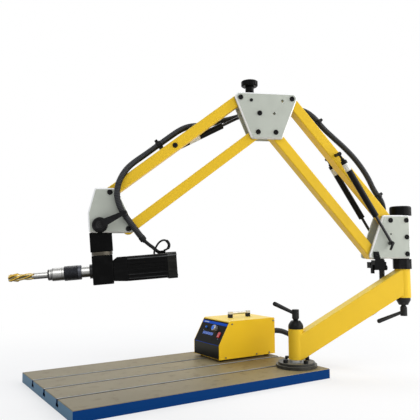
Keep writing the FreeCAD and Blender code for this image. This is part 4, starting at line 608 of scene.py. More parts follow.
@dataclass(frozen=True)
class BaseFlange(Recipe):
    """Dark cast foot with painted light on its upward faces, and a bright machined boss round the
    column.
    """

    name: str = "cast_foot"
    boss_radius: float = 31.0
    cast: Colour = (0.020, 0.019, 0.016, 1.0)
    rubbed: Colour = (0.060, 0.057, 0.047, 1.0)
    # Lighter colour painted on the upward faces as light.
    top: Colour = (0.13, 0.125, 0.10, 1.0)
    dull_ring: Colour = (0.20, 0.20, 0.195, 1.0)
    bright_ring: Colour = (0.62, 0.62, 0.60, 1.0)

    def mix(self, sheet: NodeSheet) -> Mix:
        """Mix the cast skin and the machined boss."""
        side, away, _ = sheet.frame_place(LAYOUT.arm_matrix())
        reach = side.reach(away)
        boss = reach.below(self.boss_radius, 0.6)
        lathe = sheet.rings(reach, 1.6)
        cloud = sheet.grain(45.0, 5.0)
        skin = sheet.blend(cloud.above(0.58, 0.3) * 0.6, self.cast, self.rubbed)
        # Painted light: faces that point up are drawn lighter.
        skin = sheet.blend(sheet.facing().above(0.8, 0.3) * 0.7, skin, self.top)
        bright = sheet.blend(lathe.above(0.5, 0.4), self.dull_ring, self.bright_ring)
        return {"tone": sheet.blend(boss, skin, bright), "metallic": boss * 0.8, "specular": 0.3,
                "roughness": 0.32 + cloud * 0.16,
                "normal": sheet.bump(cloud + lathe * boss, 0.2, 0.0004)}


class Turned(Enum):
    """Which way the axis of a turned steel piece points."""

    UPRIGHT = "upright"
    SPINDLE = "spindle"
    THROUGH_ARM = "through_arm"

    def direction(self) -> Vector:
        """The axis as a unit vector of the frame."""
        if self is Turned.UPRIGHT:
            return UP
        if self is Turned.SPINDLE:
            return (LAYOUT.spindle_matrix().to_3x3() @ UP).normalized()
        return (LAYOUT.arm_matrix().to_3x3() @ Vector((0, 1, 0))).normalized()


@dataclass(frozen=True)
class TurnedMetal(Recipe):
    """Bare metal with the fine rings that a lathe leaves round its axis, and blackened bands.

    The bands are (start, end) distances in millimetres from the spindle's gearbox. Spindle pieces also
    get painted reflections: dark and bright bands like those of round polished steel, by how far they
    face upwards.
    """

    name: str
    axis: Turned
    colour: Colour = (0.42, 0.42, 0.41, 1.0)
    roughness: float = 0.24
    rings: float = 1500.0
    depth: float = 0.15
    bands: Pairs = ()
    blackened: Colour = (0.012, 0.012, 0.013, 1.0)
    painted_reflection_stops: Pairs = (
        (0.04, 0.10), (0.26, 0.28), (0.46, 0.70), (0.66, 1.45), (0.84, 0.95), (0.98, 0.35))

    def mix(self, sheet: NodeSheet) -> Mix:
        """Mix the rings, and a spindle piece's blackened bands and painted reflections."""
        line = sheet.rings(sheet.project(self.axis.direction()) * self.rings, 1.0)
        tone = sheet.shaded(line.above(0.5, 0.5), self.colour, 0.66, 1.22)
        metallic: Signal | float = 1.0
        if self.axis is Turned.SPINDLE:
            # Painted reflections: darker and lighter by how far the surface faces up.
            tone = sheet.toned(tone, self.painted_reflection_stops)
            distance = sheet.frame_place(LAYOUT.spindle_matrix())[2]
            for start, end in self.bands:
                band = distance.within(start, end, 0.3)
                tone = sheet.blend(band, tone, self.blackened)
                metallic = metallic - band * 0.9
        return {"tone": tone, "metallic": metallic, "specular": 0.3,
                "roughness": self.roughness + sheet.grain(60.0) * 0.16,
                "normal": sheet.bump(line, self.depth, 0.0004)}


@dataclass(frozen=True)
class GoldTap(Recipe):
    """Gold-coated lands over silvery chip flutes, with painted shade in the flutes' roots and between
    the thread's turns, and painted light and shade by how far the surface faces up.
    """

    name: str = "gold_tap_coat"
    land: Colour = (0.60, 0.39, 0.065, 1.0)
    flute: Colour = (0.72, 0.66, 0.42, 1.0)
    shadow: Colour = (0.075, 0.05, 0.012, 1.0)
    flute_radius: float = 8.3
    root_radius: float = 6.8
    pitch: float = 2.5

    def mix(self, sheet: NodeSheet) -> Mix:
        """Mix the lands, the flutes and the thread's turns."""
        side, up, along = sheet.frame_place(LAYOUT.spindle_matrix())
        reach = side.reach(up)
        turns = (along / self.pitch).wave() * 2
        # Painted shade between the thread's turns: the lands darken towards each groove.
        tone = sheet.blend(reach.above(self.flute_radius, 1.2), self.flute,
                           sheet.shaded(turns, self.land, 0.45, 1.0))
        # Painted shade in the flutes' roots.
        tone = sheet.blend(reach.below(self.root_radius, 1.6) * 0.85, tone, self.shadow)
        # Painted light and shade by how far the surface faces up.
        return {"tone": sheet.toned(tone, ((0.05, 0.25), (0.35, 0.60), (0.6, 1.2), (0.9, 0.9))),
                "metallic": 0.85, "roughness": 0.24 + sheet.grain(140.0) * 0.12,
                "normal": sheet.bump(turns, 0.25, 0.0005)}


@dataclass(frozen=True)
class Knurled(Recipe):
    """Dark chuck sleeve: a crossed knurl, and a plain ring next to the gearbox drawn lighter as a
    painted highlight, with painted light and shade by how far it faces up.
    """

    name: str = "knurled_sleeve"
    colour: Colour = (0.008, 0.009, 0.012, 1.0)
    worn: Colour = (0.085, 0.09, 0.105, 1.0)
    teeth: float = 56.0
    pitch: float = 2.7
    ring_end: float = 46.5
    groove_end: float = 49.0

    def mix(self, sheet: NodeSheet) -> Mix:
        """Mix the ring, the groove and the knurl."""
        side, up, along = sheet.frame_place(LAYOUT.spindle_matrix())
        turned = up.angle_to(side) * (self.teeth / (2 * math.pi))
        run = along / self.pitch
        knurl = (turned + run).wave() + (turned - run).wave()
        gripped = along.above(self.groove_end, 0.5)
        groove = along.within(self.ring_end, self.groove_end, 0.4)
        cloud = sheet.grain(90.0)
        # Painted highlight: the plain ring takes the lighter colour, the groove keeps the dark one.
        ring = sheet.blend(groove, self.worn, self.colour)
        grip = sheet.blend(knurl.above(0.75, 0.5) * (0.3 + cloud * 0.5), self.colour, self.worn)
        # Painted light and shade by how far the surface faces up.
        tone = sheet.toned(sheet.blend(gripped, ring, grip),
                           ((0.1, 0.35), (0.45, 0.6), (0.7, 1.25), (0.95, 0.7)))
        return {"tone": tone, "metallic": 0.5, "roughness": 0.30 + cloud * 0.15, "specular": 0.2,
                "normal": sheet.bump(knurl * gripped - groove, 0.7, 0.0008)}


@dataclass(frozen=True)
class Moulded(Recipe):
    """Moulded plastic or rubber with a fine surface texture."""

    name: str
    colour: Colour
    roughness: float = 0.45
    texture: float = 0.12
    coat: float = 0.0
    specular: float = 0.08

    def mix(self, sheet: NodeSheet) -> Mix:
        """Mix the moulding and its lighter clouds."""
        cloud = sheet.grain(30.0, 4.0)
        return {"tone": sheet.shaded(cloud.above(0.55, 0.4) * 0.6, self.colour, 1.0, 1.35),
                "roughness": self.roughness + cloud * 0.14, "specular": self.specular,
                "coat": self.coat, "normal": sheet.bump(sheet.grain(1100.0, 2.0), self.texture)}


@dataclass(frozen=True)
class CorrugatedRubber(Recipe):
    """Dark hose with painted shade in the valleys between its ribs, and painted light that makes it
    lighter where it faces up and left.
    """

    name: str = "corrugated_hose"
    crest: Colour = (0.024, 0.025, 0.027, 1.0)
    valley_shade: Colour = grey(0.003)
    light_side: Place = (-0.45, -0.2, 0.87)

    def mix(self, sheet: NodeSheet) -> Mix:
        """Mix the ribs and the valleys."""
        rib = sheet.node("ShaderNodeAttribute", {"attribute_name": "rib"}, output="Fac")
        cloud = sheet.grain(35.0, 4.0)
        # Painted shade in the valleys, and painted light and shade by how far the surface faces up and
        # left.
        tone = sheet.toned(sheet.blend(rib * (0.7 + cloud * 0.6), self.valley_shade, self.crest),
                           ((0.15, 0.12), (0.45, 0.45), (0.80, 2.0), (0.98, 1.4)),
                           Vector(self.light_side))
        return {"tone": tone, "roughness": 0.44 + cloud * 0.18 - rib * 0.10, "specular": 0.2,
                "normal": sheet.bump(sheet.grain(900.0, 2.0), 0.10, 0.0002)}


@dataclass(frozen=True)
class HandleFinish(Recipe):
    """Carry handle: bright, with black feet up to a height in metres."""

    name: str = "carry_handle"
    bright: Colour = (0.66, 0.65, 0.60, 1.0)
    foot_top: float = 0.188

    def mix(self, sheet: NodeSheet) -> Mix:
        """Mix the bright grip and the black feet."""
        foot = sheet.project(UP).below(self.foot_top, 0.002)
        return {"tone": sheet.blend(foot, self.bright, grey(0.008)), "metallic": (1 - foot) * 0.8,
                "specular": 0.2, "roughness": 0.24 + foot * 0.2 + sheet.grain(50.0) * 0.1,
                "normal": sheet.bump(sheet.grain(800.0, 2.0), 0.06)}


BLUE_PRINT = (0.002, 0.080, 0.58, 1.0)
PALE_PRINT = (0.50, 0.62, 0.82, 1.0)


@dataclass(frozen=True)
class PrintedMark:
    """One rectangle printed on the slanted panel, in millimetres up its slope and along it."""

    up: tuple[float, float]
    along: tuple[float, float]
    colour: Colour = PALE_PRINT
    tick: float = 0.0

    def on(self, sheet: NodeSheet, tone: Signal, up: Signal, along: Signal) -> Signal:
        """Print the mark over a colour; a tick is the pitch of pale lines in it.

        Args:
            sheet: the material's sheet.
            tone: the colour under the mark.
            up: how far up the panel the surface point is.
            along: how far along the panel it is.

        Returns:
            The colour with the mark.
        """
        mask = up.within(*self.up, 0.3) * along.within(*self.along, 0.3)
        ink: Signal | Colour = self.colour
        if self.tick:
            ink = sheet.blend((along / self.tick).wave().above(0.36, 0.04), self.colour, PALE_PRINT)
        return sheet.blend(mask, tone, ink)


@dataclass(frozen=True)
class PrintedPanel(Recipe):
    """Black control panel: blue band with a pale bar, scale strip, fold line, dial arc and lamps."""

    name: str = "printed_panel"
    black: Colour = grey(0.006)
    worn: Colour = (0.012, 0.012, 0.011, 1.0)
    apron: Colour = (0.046, 0.045, 0.034, 1.0)
    dial: Colour = (0.30, 0.17, 0.04, 1.0)
    knob_up: float = 58.0
    knob_along: float = 66.0
    dial_radius: float = 15.5
    dial_width: float = 1.2
    marks: tuple[PrintedMark, ...] = (
        PrintedMark((74.5, 84.0), (5.0, 171.0), BLUE_PRINT),
        PrintedMark((77.5, 81.0), (128.0, 160.0)),
        PrintedMark((31.0, 41.5), (70.0, 140.0), BLUE_PRINT, 5.0),
        PrintedMark((-1.2, 0.0), (5.0, 171.0), BLUE_PRINT),
        PrintedMark((22.0, 24.5), (26.0, 28.5)),
        PrintedMark((45.0, 46.8), (142.0, 144.0)))

    def mix(self, sheet: NodeSheet) -> Mix:
        """Mix the black ground, the paler apron below the fold, the dial and the marks."""
        up, along, _ = sheet.frame_place(LAYOUT.panel_matrix())
        cloud = sheet.grain(40.0, 4.0)
        tone = sheet.blend(cloud.above(0.5, 0.5), self.black, self.worn)
        apron = up.within(-40.0, -1.5, 1.0) * up.above(-22.0, 34.0)
        tone = sheet.blend(apron, tone, self.apron)
        above = up - self.knob_up
        reach = (along - self.knob_along).reach(above)
        arc = reach.within(self.dial_radius, self.dial_radius + self.dial_width, 0.4)
        tone = sheet.blend(arc * above.below(2.0, 8.0) * 0.5, tone, self.dial)
        for mark in self.marks:
            tone = mark.on(sheet, tone, up, along)
        return {"tone": tone, "roughness": 0.26 + cloud * 0.10, "specular": 0.05,
                "normal": sheet.bump(sheet.grain(700.0, 2.0), 0.08)}


@dataclass(frozen=True)
class RockerCase(Recipe):
    """Red rocker switch with two pale marks."""

    name: str = "rocker_case"
    colour: Colour = (0.62, 0.020, 0.015, 1.0)
    marks: tuple[PrintedMark, ...] = (
        PrintedMark((42.0, 45.0), (26.9, 28.9)), PrintedMark((31.5, 34.5), (26.4, 29.4)))

    def mix(self, sheet: NodeSheet) -> Mix:
        """Mix the red ground and the marks."""
        up, along, _ = sheet.frame_place(LAYOUT.panel_matrix())
        cloud = sheet.grain(60.0, 2.0)
        tone = sheet.shaded(cloud, self.colour, 0.92, 1.05)
        for mark in self.marks:
            tone = mark.on(sheet, tone, up, along)
        return {"tone": tone, "roughness": 0.26 + cloud * 0.1, "coat": 0.3,
                "normal": sheet.bump(cloud, 0.05)}


@dataclass(frozen=True)
class KnobFinish(Recipe):
    """Selector knob: bright ribbed skirt with painted shade in its grooves, and a blue face with a pale
    pointer.
    """

    name: str = "knob_finish"
    face: Colour = (0.008, 0.16, 0.80, 1.0)
    rib: Colour = (0.85, 0.84, 0.78, 1.0)
    # Darker colour of the skirt's grooves: painted shade.
    groove: Colour = (0.34, 0.33, 0.30, 1.0)
    centre_up: float = 58.0
    centre_along: float = 66.0
    face_lift: float = 12.5
    face_radius: float = 9.4
    pointer_half_width: float = 0.9
    ribs: float = 24.0

    def mix(self, sheet: NodeSheet) -> Mix:
        """Mix the skirt, the face and the pointer."""
        up, along, lift = sheet.frame_place(LAYOUT.panel_matrix())
        beside, above = along - self.centre_along, up - self.centre_up
        face = lift.above(self.face_lift, 0.3) * beside.reach(above).below(self.face_radius, 0.3)
        pointer = face * beside.size().below(self.pointer_half_width, 0.3) * above.above(0.5, 0.4)
        rib = (beside.angle_to(above) * (self.ribs / (2 * math.pi))).wave() * 2
        # Painted shade: the skirt's grooves take the darker colour.
        tone = sheet.blend(face, sheet.blend(rib, self.groove, self.rib), self.face)
        return {"tone": sheet.blend(pointer, tone, PALE_PRINT), "metallic": (1 - face) * 0.7,
                "roughness": 0.30 + rib * 0.06, "specular": 0.3,
                "normal": sheet.bump(rib * (1 - face), 0.4, 0.0005)}


@dataclass(frozen=True)
class CylinderLabel(Recipe):
    """Pale foil label with plain grey bars across it, wrapped round a gas spring."""

    name: str
    side: int
    foil: Colour = (0.66, 0.655, 0.60, 1.0)
    ink: Colour = (0.16, 0.16, 0.15, 1.0)
    bar: float = 5.2

    def mix(self, sheet: NodeSheet) -> Mix:
        """Mix the foil and its bars."""
        down = sheet.frame_place(LAYOUT.gas_matrix(self.side))[2]
        cloud = sheet.grain(120.0, 2.0)
        bars = (down / self.bar).wave().above(0.36, 0.05) * cloud.above(0.42, 0.1)
        return {"tone": sheet.blend(bars * 0.7, self.foil, self.ink), "metallic": 0.3,
                "roughness": 0.36 + cloud * 0.1, "normal": sheet.bump(cloud, 0.05, 0.0002)}


class Finish(Enum):
    """Every finish that the machine's pieces take."""

    YELLOW = PowderCoat("yellow_coat", (0.735, 0.470, 0.022, 1.0))
    # The third colour is the lighter yellow painted on the box's upward faces as light.
    BOX_YELLOW = PowderCoat("box_coat", (0.90, 0.565, 0.018, 1.0), (1.0, 0.84, 0.26, 1.0))
    PLATE = ChamferedPlate()
    TABLE = GroundTable()
    FLANGE = BaseFlange()
    DARK_IRON = DarkMetal("dark_iron_finish", (0.011, 0.011, 0.0105, 1.0), (0.04, 0.04, 0.038, 1.0),
                          roughness=0.36, pits=0.2)
    BLACK_OXIDE = DarkMetal("black_oxide", (0.006, 0.006, 0.0062, 1.0), roughness=0.28, specular=0.11)
    NITRIDED = DarkMetal("nitrided_rod_finish", (0.009, 0.009, 0.010, 1.0), (0.016, 0.016, 0.018, 1.0),
                         roughness=0.16, specular=0.30, pits=0.02)
    RUBBED_EDGE = DarkMetal("rubbed_black", grey(0.010), grey(0.05), roughness=0.26, specular=0.20)
    BLACK_GLOSS = DarkMetal("black_gloss", grey(0.0022), grey(0.006), 0.20, 0.05, 0.05)
    TUBE_BLACK = DarkMetal("tube_black", (0.005, 0.005, 0.0048, 1.0), grey(0.010), 0.22, 0.09, 0.04)
    MOTOR = MotorCase("motor_case")
    # The cap's own painted highlight lines.
    CAP_GREY = MotorCase("motor_cap_case", (0.0085, 0.0085, 0.0075, 1.0), lines=(
        (-107.5, 0.9, 0.55), (-113.5, 1.3, 0.60), (-182.0, 0.8, 0.12)))
    STEEL_POST = TurnedMetal("ground_post", Turned.UPRIGHT)
    SCREW_STEEL = TurnedMetal("screw_steel", Turned.THROUGH_ARM, (0.16, 0.16, 0.15, 1.0), 0.34)
    STEEL_TOOL = TurnedMetal("turned_tool_steel", Turned.SPINDLE, (0.47, 0.47, 0.455, 1.0), bands=(
        (-2.0, 10.2), (136.6, 142.2), (129.6, 131.4), (124.6, 126.0), (96.0, 97.2)))
    STEEL_PIN = TurnedMetal("turned_pin_steel", Turned.THROUGH_ARM)
    BRONZE = TurnedMetal("bronze_bush", Turned.UPRIGHT, (0.50, 0.33, 0.14, 1.0), 0.30)
    RING = TurnedMetal("swivel_ring_metal", Turned.UPRIGHT, (0.085, 0.076, 0.06, 1.0), 0.34, 900.0)
    GOLD = GoldTap()
    KNURL = Knurled()
    HOSE = CorrugatedRubber()
    BLACK_PLASTIC = Moulded("black_moulding", grey(0.0035), 0.22, 0.05, specular=0.06)
    RUBBER = Moulded("foot_rubber_finish", grey(0.008), 0.62, 0.3)
    CABLE = Moulded("cable_sheath", (0.0115, 0.012, 0.012, 1.0), 0.42, 0.1)
    BLUE = Moulded("blue_moulding", (0.020, 0.16, 0.66, 1.0), 0.28, 0.03, 0.3)
    PANEL = PrintedPanel()
    ROCKER = RockerCase()
    KNOB = KnobFinish()
    LABEL_RIGHT = CylinderLabel("right_spring_label", 1)
    LABEL_LEFT = CylinderLabel("left_spring_label", 0)
    DRIVE = TurnedMetal("drive_case", Turned.UPRIGHT, (0.40, 0.41, 0.42, 1.0), 0.40, 300.0)
    HANDLE = HandleFinish()

    def material(self) -> bpy.types.Material:
        """The finish's material, built once."""
        found = bpy.data.materials.get(self.value.name)
        return found or self.value.make()


NODE_FINISHES: dict[Finish, tuple[str, ...]] = {
    Finish.YELLOW: ("base_arm", "upper_right_beam", "lower_right_beam", "upper_left_beam",
                    "lower_left_beam"),
    Finish.BOX_YELLOW: ("control_box_cover", "control_box_tray"),
    Finish.PLATE: ("shoulder_plate_front", "shoulder_plate_rear", "elbow_plate_front",
                   "elbow_plate_rear", "head_plate_front", "head_plate_rear"),
    Finish.TABLE: ("table",),
    Finish.FLANGE: ("base_flange",),
    Finish.DARK_IRON: ("base_clamp_lever", "post_clamp_lever"),
    Finish.BLACK_OXIDE: ("flange_bolts", "shoulder_bolts", "elbow_bolts", "head_bolts", "post_collar",
                         "left_beam_fittings", "right_beam_fittings", "tilt_lever"),
    Finish.MOTOR: ("motor_body",),
    Finish.BLACK_GLOSS: ("gearbox_block", "tilt_neck", "shoulder_hub", "hose_hanger"),
    Finish.TUBE_BLACK: ("right_gas_cylinders", "left_gas_cylinder"),
    Finish.PANEL: ("control_box_panel",),
    Finish.CAP_GREY: ("motor_cap",),
    Finish.STEEL_POST: ("base_column", "swivel_post"),
    Finish.SCREW_STEEL: ("control_box_screws",),
    Finish.KNOB: ("selector_knob",),
    Finish.STEEL_TOOL: ("spindle", "collet_holder"),
    Finish.STEEL_PIN: ("elbow_spacers",),
    Finish.NITRIDED: ("right_gas_rods", "left_gas_rod"),
    Finish.BRONZE: ("base_arm_bushes",),
    Finish.RING: ("swivel_ring",),
    Finish.KNURL: ("chuck_sleeve",),
    Finish.BLACK_PLASTIC: ("elbow_knob", "hanger_knob", "post_cap", "hose_gland"),
    Finish.RUBBER: ("control_box_feet",),
    Finish.ROCKER: ("rocker_switch",),
    Finish.BLUE: ("push_button",),
    Finish.DRIVE: ("servo_drive",),
    Finish.HANDLE: ("control_box_handle",),
}


def dress_nodes() -> None:
    """Give every construction node that is kept its finish."""
    for finish, names in NODE_FINISHES.items():
        for name in names:
            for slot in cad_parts[name].material_slots:
                slot.material = finish.material()
        LOG.info("%s on %s", finish.value.name, ", ".join(names))


# ------------------------------------------------------------------ modelling bench

class Bench:
    """The modelling operators, used in the order in which a modeller would."""

    smooth_angle = math.radians(35.0)

    @staticmethod
    def clear() -> None:
        """Leave edit mode and deselect everything."""
        if bpy.context.object and bpy.context.object.mode != "OBJECT":
            bpy.ops.object.mode_set(mode="OBJECT")
        bpy.ops.object.select_all(action="DESELECT")

    @classmethod
    def focus(cls, piece: bpy.types.Object) -> None:
        """Select one piece and make it active."""
        cls.clear()
        piece.select_set(True)
        bpy.context.view_layer.objects.active = piece

    @staticmethod
    def adopt(name: str) -> bpy.types.Object:
        """Name the primitive that was just added and open it for editing."""
        piece = bpy.context.object
        piece.name = name
        piece.data.name = name
        bpy.ops.object.mode_set(mode="EDIT")
        return piece

    @classmethod
    def disc(cls, name: str, radius: float, sides: int) -> bpy.types.Object:
        """A filled round outline on the XY plane, selected and open for editing."""
        cls.clear()
        bpy.ops.mesh.primitive_circle_add(vertices=sides, radius=radius, fill_type="NGON")
        return cls.adopt(name)

    @classmethod
    def block(cls, name: str, size: Place, centre: Place) -> bpy.types.Object:
        """A block at its size and place, selected and open for editing."""
        cls.clear()
        bpy.ops.mesh.primitive_cube_add(size=1.0, location=centre, scale=size)
        bpy.ops.object.transform_apply(location=True, rotation=True, scale=True)
        return cls.adopt(name)

    @staticmethod
    def pick_vertices(piece: bpy.types.Object, test: Callable[[Vector], bool]) -> None:
        """Select the vertices whose place passes a test, in edit mode.

        Args:
            piece: the piece that is open for editing.
            test: what a vertex's place has to pass.
        """
        bpy.ops.mesh.select_mode(type="VERT")
        bpy.ops.mesh.select_all(action="DESELECT")
        bpy.ops.object.mode_set(mode="OBJECT")
        for vertex in piece.data.vertices:
            vertex.select = test(vertex.co)
        bpy.ops.object.mode_set(mode="EDIT")

    @staticmethod
    def widen(share: float, depth_share: float) -> None:
        """Scale the selection across, about the Z axis."""
        bpy.ops.transform.resize(value=(share, depth_share, 1.0), center_override=(0.0, 0.0, 0.0))

    @classmethod
    def push(cls, rise: float, grow: float) -> None:
        """Extrude the selected faces upwards and scale them across."""
        bpy.ops.mesh.extrude_region_move(TRANSFORM_OT_translate={"value": (0.0, 0.0, rise)})
        if grow != 1.0:
            cls.widen(grow, grow)

    @classmethod
    def turned(cls, name: str, steps: Pairs, sides: int = 48) -> bpy.types.Object:
        """A round piece on the Z axis.

        Args:
            name: the piece's name.
            steps: its outline as (radius, height) pairs from its foot upwards.
            sides: how many sides its rings have.

        Returns:
            The piece, out of edit mode.
        """
        radius, height = steps[0]
        piece = cls.disc(name, radius, sides)
        bpy.ops.transform.translate(value=(0.0, 0.0, height))
        for next_radius, next_height in steps[1:]:
            cls.push(next_height - height, next_radius / radius)
            radius, height = next_radius, next_height
        cls.close(piece)
        return piece

    @classmethod
    def close(cls, piece: bpy.types.Object) -> None:
        """Point the faces outwards and leave edit mode."""
        bpy.ops.mesh.select_all(action="SELECT")
        bpy.ops.mesh.normals_make_consistent(inside=False)
        cls.focus(piece)

    @classmethod
    def round_edges(cls, piece: bpy.types.Object, width: float) -> None:
        """Bevel the piece's sharp edges with a modifier and apply it."""
        cls.focus(piece)
        bevel = piece.modifiers.new("rounding", "BEVEL")
        bevel.width = width
        bevel.segments = 2
        bevel.limit_method = "ANGLE"
        bpy.ops.object.modifier_apply(modifier=bevel.name)

    @classmethod
    def settle(cls, piece: bpy.types.Object, matrix: Matrix, finish: Finish, slot: str,
               body: str) -> None:
        """Put a piece in its place in the frame, and give it its finish and its body.

        Args:
            piece: the piece, modelled in millimetres at the origin.
            matrix: its place in the frame.
            finish: the finish it takes.
            slot: not used.
            body: the body it moves with.
        """
        cls.focus(piece)
        piece.matrix_world = matrix
        bpy.ops.object.transform_apply(location=True, rotation=True, scale=True)
        bpy.ops.object.shade_smooth_by_angle(angle=cls.smooth_angle)
        piece.data.materials.clear()
        piece.data.materials.append(finish.material())
        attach(piece, body)
        LOG.info("piece %s rides on %s", piece.name, body)


# ------------------------------------------------------------------ hose

class HoseLine:
    """A smooth line through a hose's route, measured along its length."""

    steps_per_place = 24

    def __init__(self, name: str, places: Iterable[Place]) -> None:
        """Lay one spline with the route's places as its control points and read its points.

        Args:
            name: what the line is called while it is laid.
            places: the route, in the arm's plane.
        """
        curve = bpy.data.curves.new(name, "CURVE")
        curve.dimensions = "3D"
        curve.resolution_u = self.steps_per_place
        spline = curve.splines.new("NURBS")
        route = [LAYOUT.world(place) for place in places]
        spline.points.add(len(route) - 1)
        for point, place in zip(spline.points, route):
            point.co = (*place, 1.0)
        spline.order_u = 3
        spline.use_endpoint_u = True
        holder = bpy.data.objects.new(name, curve)
        bpy.context.scene.collection.objects.link(holder)
        bpy.context.view_layer.update()
        mesh = bpy.data.meshes.new_from_object(holder)
        self.points = [vertex.co.copy() for vertex in mesh.vertices]
        bpy.data.objects.remove(holder)
        bpy.data.meshes.remove(mesh)
        self.marks = [0.0]
        for before, after in zip(self.points, self.points[1:]):
            self.marks.append(self.marks[-1] + (after - before).length)

    @property
    def length(self) -> float:
        """The line's length in metres."""
        return self.marks[-1]

    def nearest(self, place: Place) -> float:
        """How far along the line its nearest point to a place of the arm is, in metres."""
        target = LAYOUT.world(place)
        index = min(range(len(self.points)), key=lambda i: (self.points[i] - target).length)
        return self.marks[index]

    def at(self, distances: Sequence[float]) -> list[Vector]:
        """Find points along the line.

        Args:
            distances: how far along it they are, rising, in metres.

        Returns:
            The points.
        """
        found, index = [], 0
        for distance in distances:
            while index < len(self.marks) - 2 and self.marks[index + 1] < distance:
                index += 1
            span = self.marks[index + 1] - self.marks[index]
            share = (distance - self.marks[index]) / span if span else 0.0
            found.append(self.points[index].lerp(self.points[index + 1], share))
        return found


@dataclass(frozen=True)
class TubeSkin:
    """The outside of a hose or cable, swept along a line, with four rings to each rib."""

    radius: float
    groove: float
    pitch: float
    sides: int
    finish: Finish
    rib_heights: tuple[float, ...] = (0.0, 0.8, 1.0, 0.8)

    def sweep(self, name: str, line: HoseLine, start: float, end: float) -> bpy.types.Object:
        """Make the skin of one length of the line.

        Args:
            name: the piece's name.
            line: the line that it follows.
            start: where the length starts along the line, in metres.
            end: where it ends.

        Returns:
            The piece, in its place.
        """
        step = self.pitch * MM / len(self.rib_heights)
        numbers = range(round(start / step), round(end / step) + 1)
        centres = line.at([number * step for number in numbers])
        vertices: list[Vector] = []
        ribs: list[float] = []
        sideways = UP
        for index, centre in enumerate(centres):
            ahead = centres[min(index + 1, len(centres) - 1)] - centres[max(index - 1, 0)]
            tangent = ahead.normalized()
            sideways = (sideways - tangent * sideways.dot(tangent)).normalized()
            across = tangent.cross(sideways)
            rib = self.rib_heights[numbers[index] % len(self.rib_heights)]
            reach = (self.radius - self.groove * (1 - rib)) * MM
            for side in range(self.sides):
                c, s = heading(360.0 * side / self.sides)
                vertices.append(centre + (sideways * c + across * s) * reach)
                ribs.append(rib)
        mesh = bpy.data.meshes.new(name)
        mesh.from_pydata(vertices, [], self.faces(len(centres)))
        mesh.attributes.new("rib", "FLOAT", "POINT").data.foreach_set("value", ribs)
        mesh.shade_smooth()
        mesh.materials.append(self.finish.material())
        piece = bpy.data.objects.new(name, mesh)
        bpy.context.scene.collection.objects.link(piece)
        LOG.info("piece %s is %.0f mm long", name, (end - start) / MM)
        return piece

    def faces(self, rings: int) -> list[tuple[int, ...]]:
        """Join rings of vertices.

        Args:
            rings: how many rings there are.

        Returns:
            The faces between them and the two end faces, as numbers of vertices.
        """
        sides, top = self.sides, (rings - 1) * self.sides
        found = []
        for low in range(0, top, sides):
            for side in range(sides):
                after = (side + 1) % sides
                found.append((low + side, low + after, low + sides + after, low + sides + side))
        return found + [tuple(reversed(range(sides))), tuple(range(top, top + sides))]


@dataclass(frozen=True)
class HoseRun:
    """One length of the hose, with the body that carries it or the two bodies it runs between."""

    name: str
    until: Place | None
    bodies: tuple[str, ...]
    stands_for: str | None = None


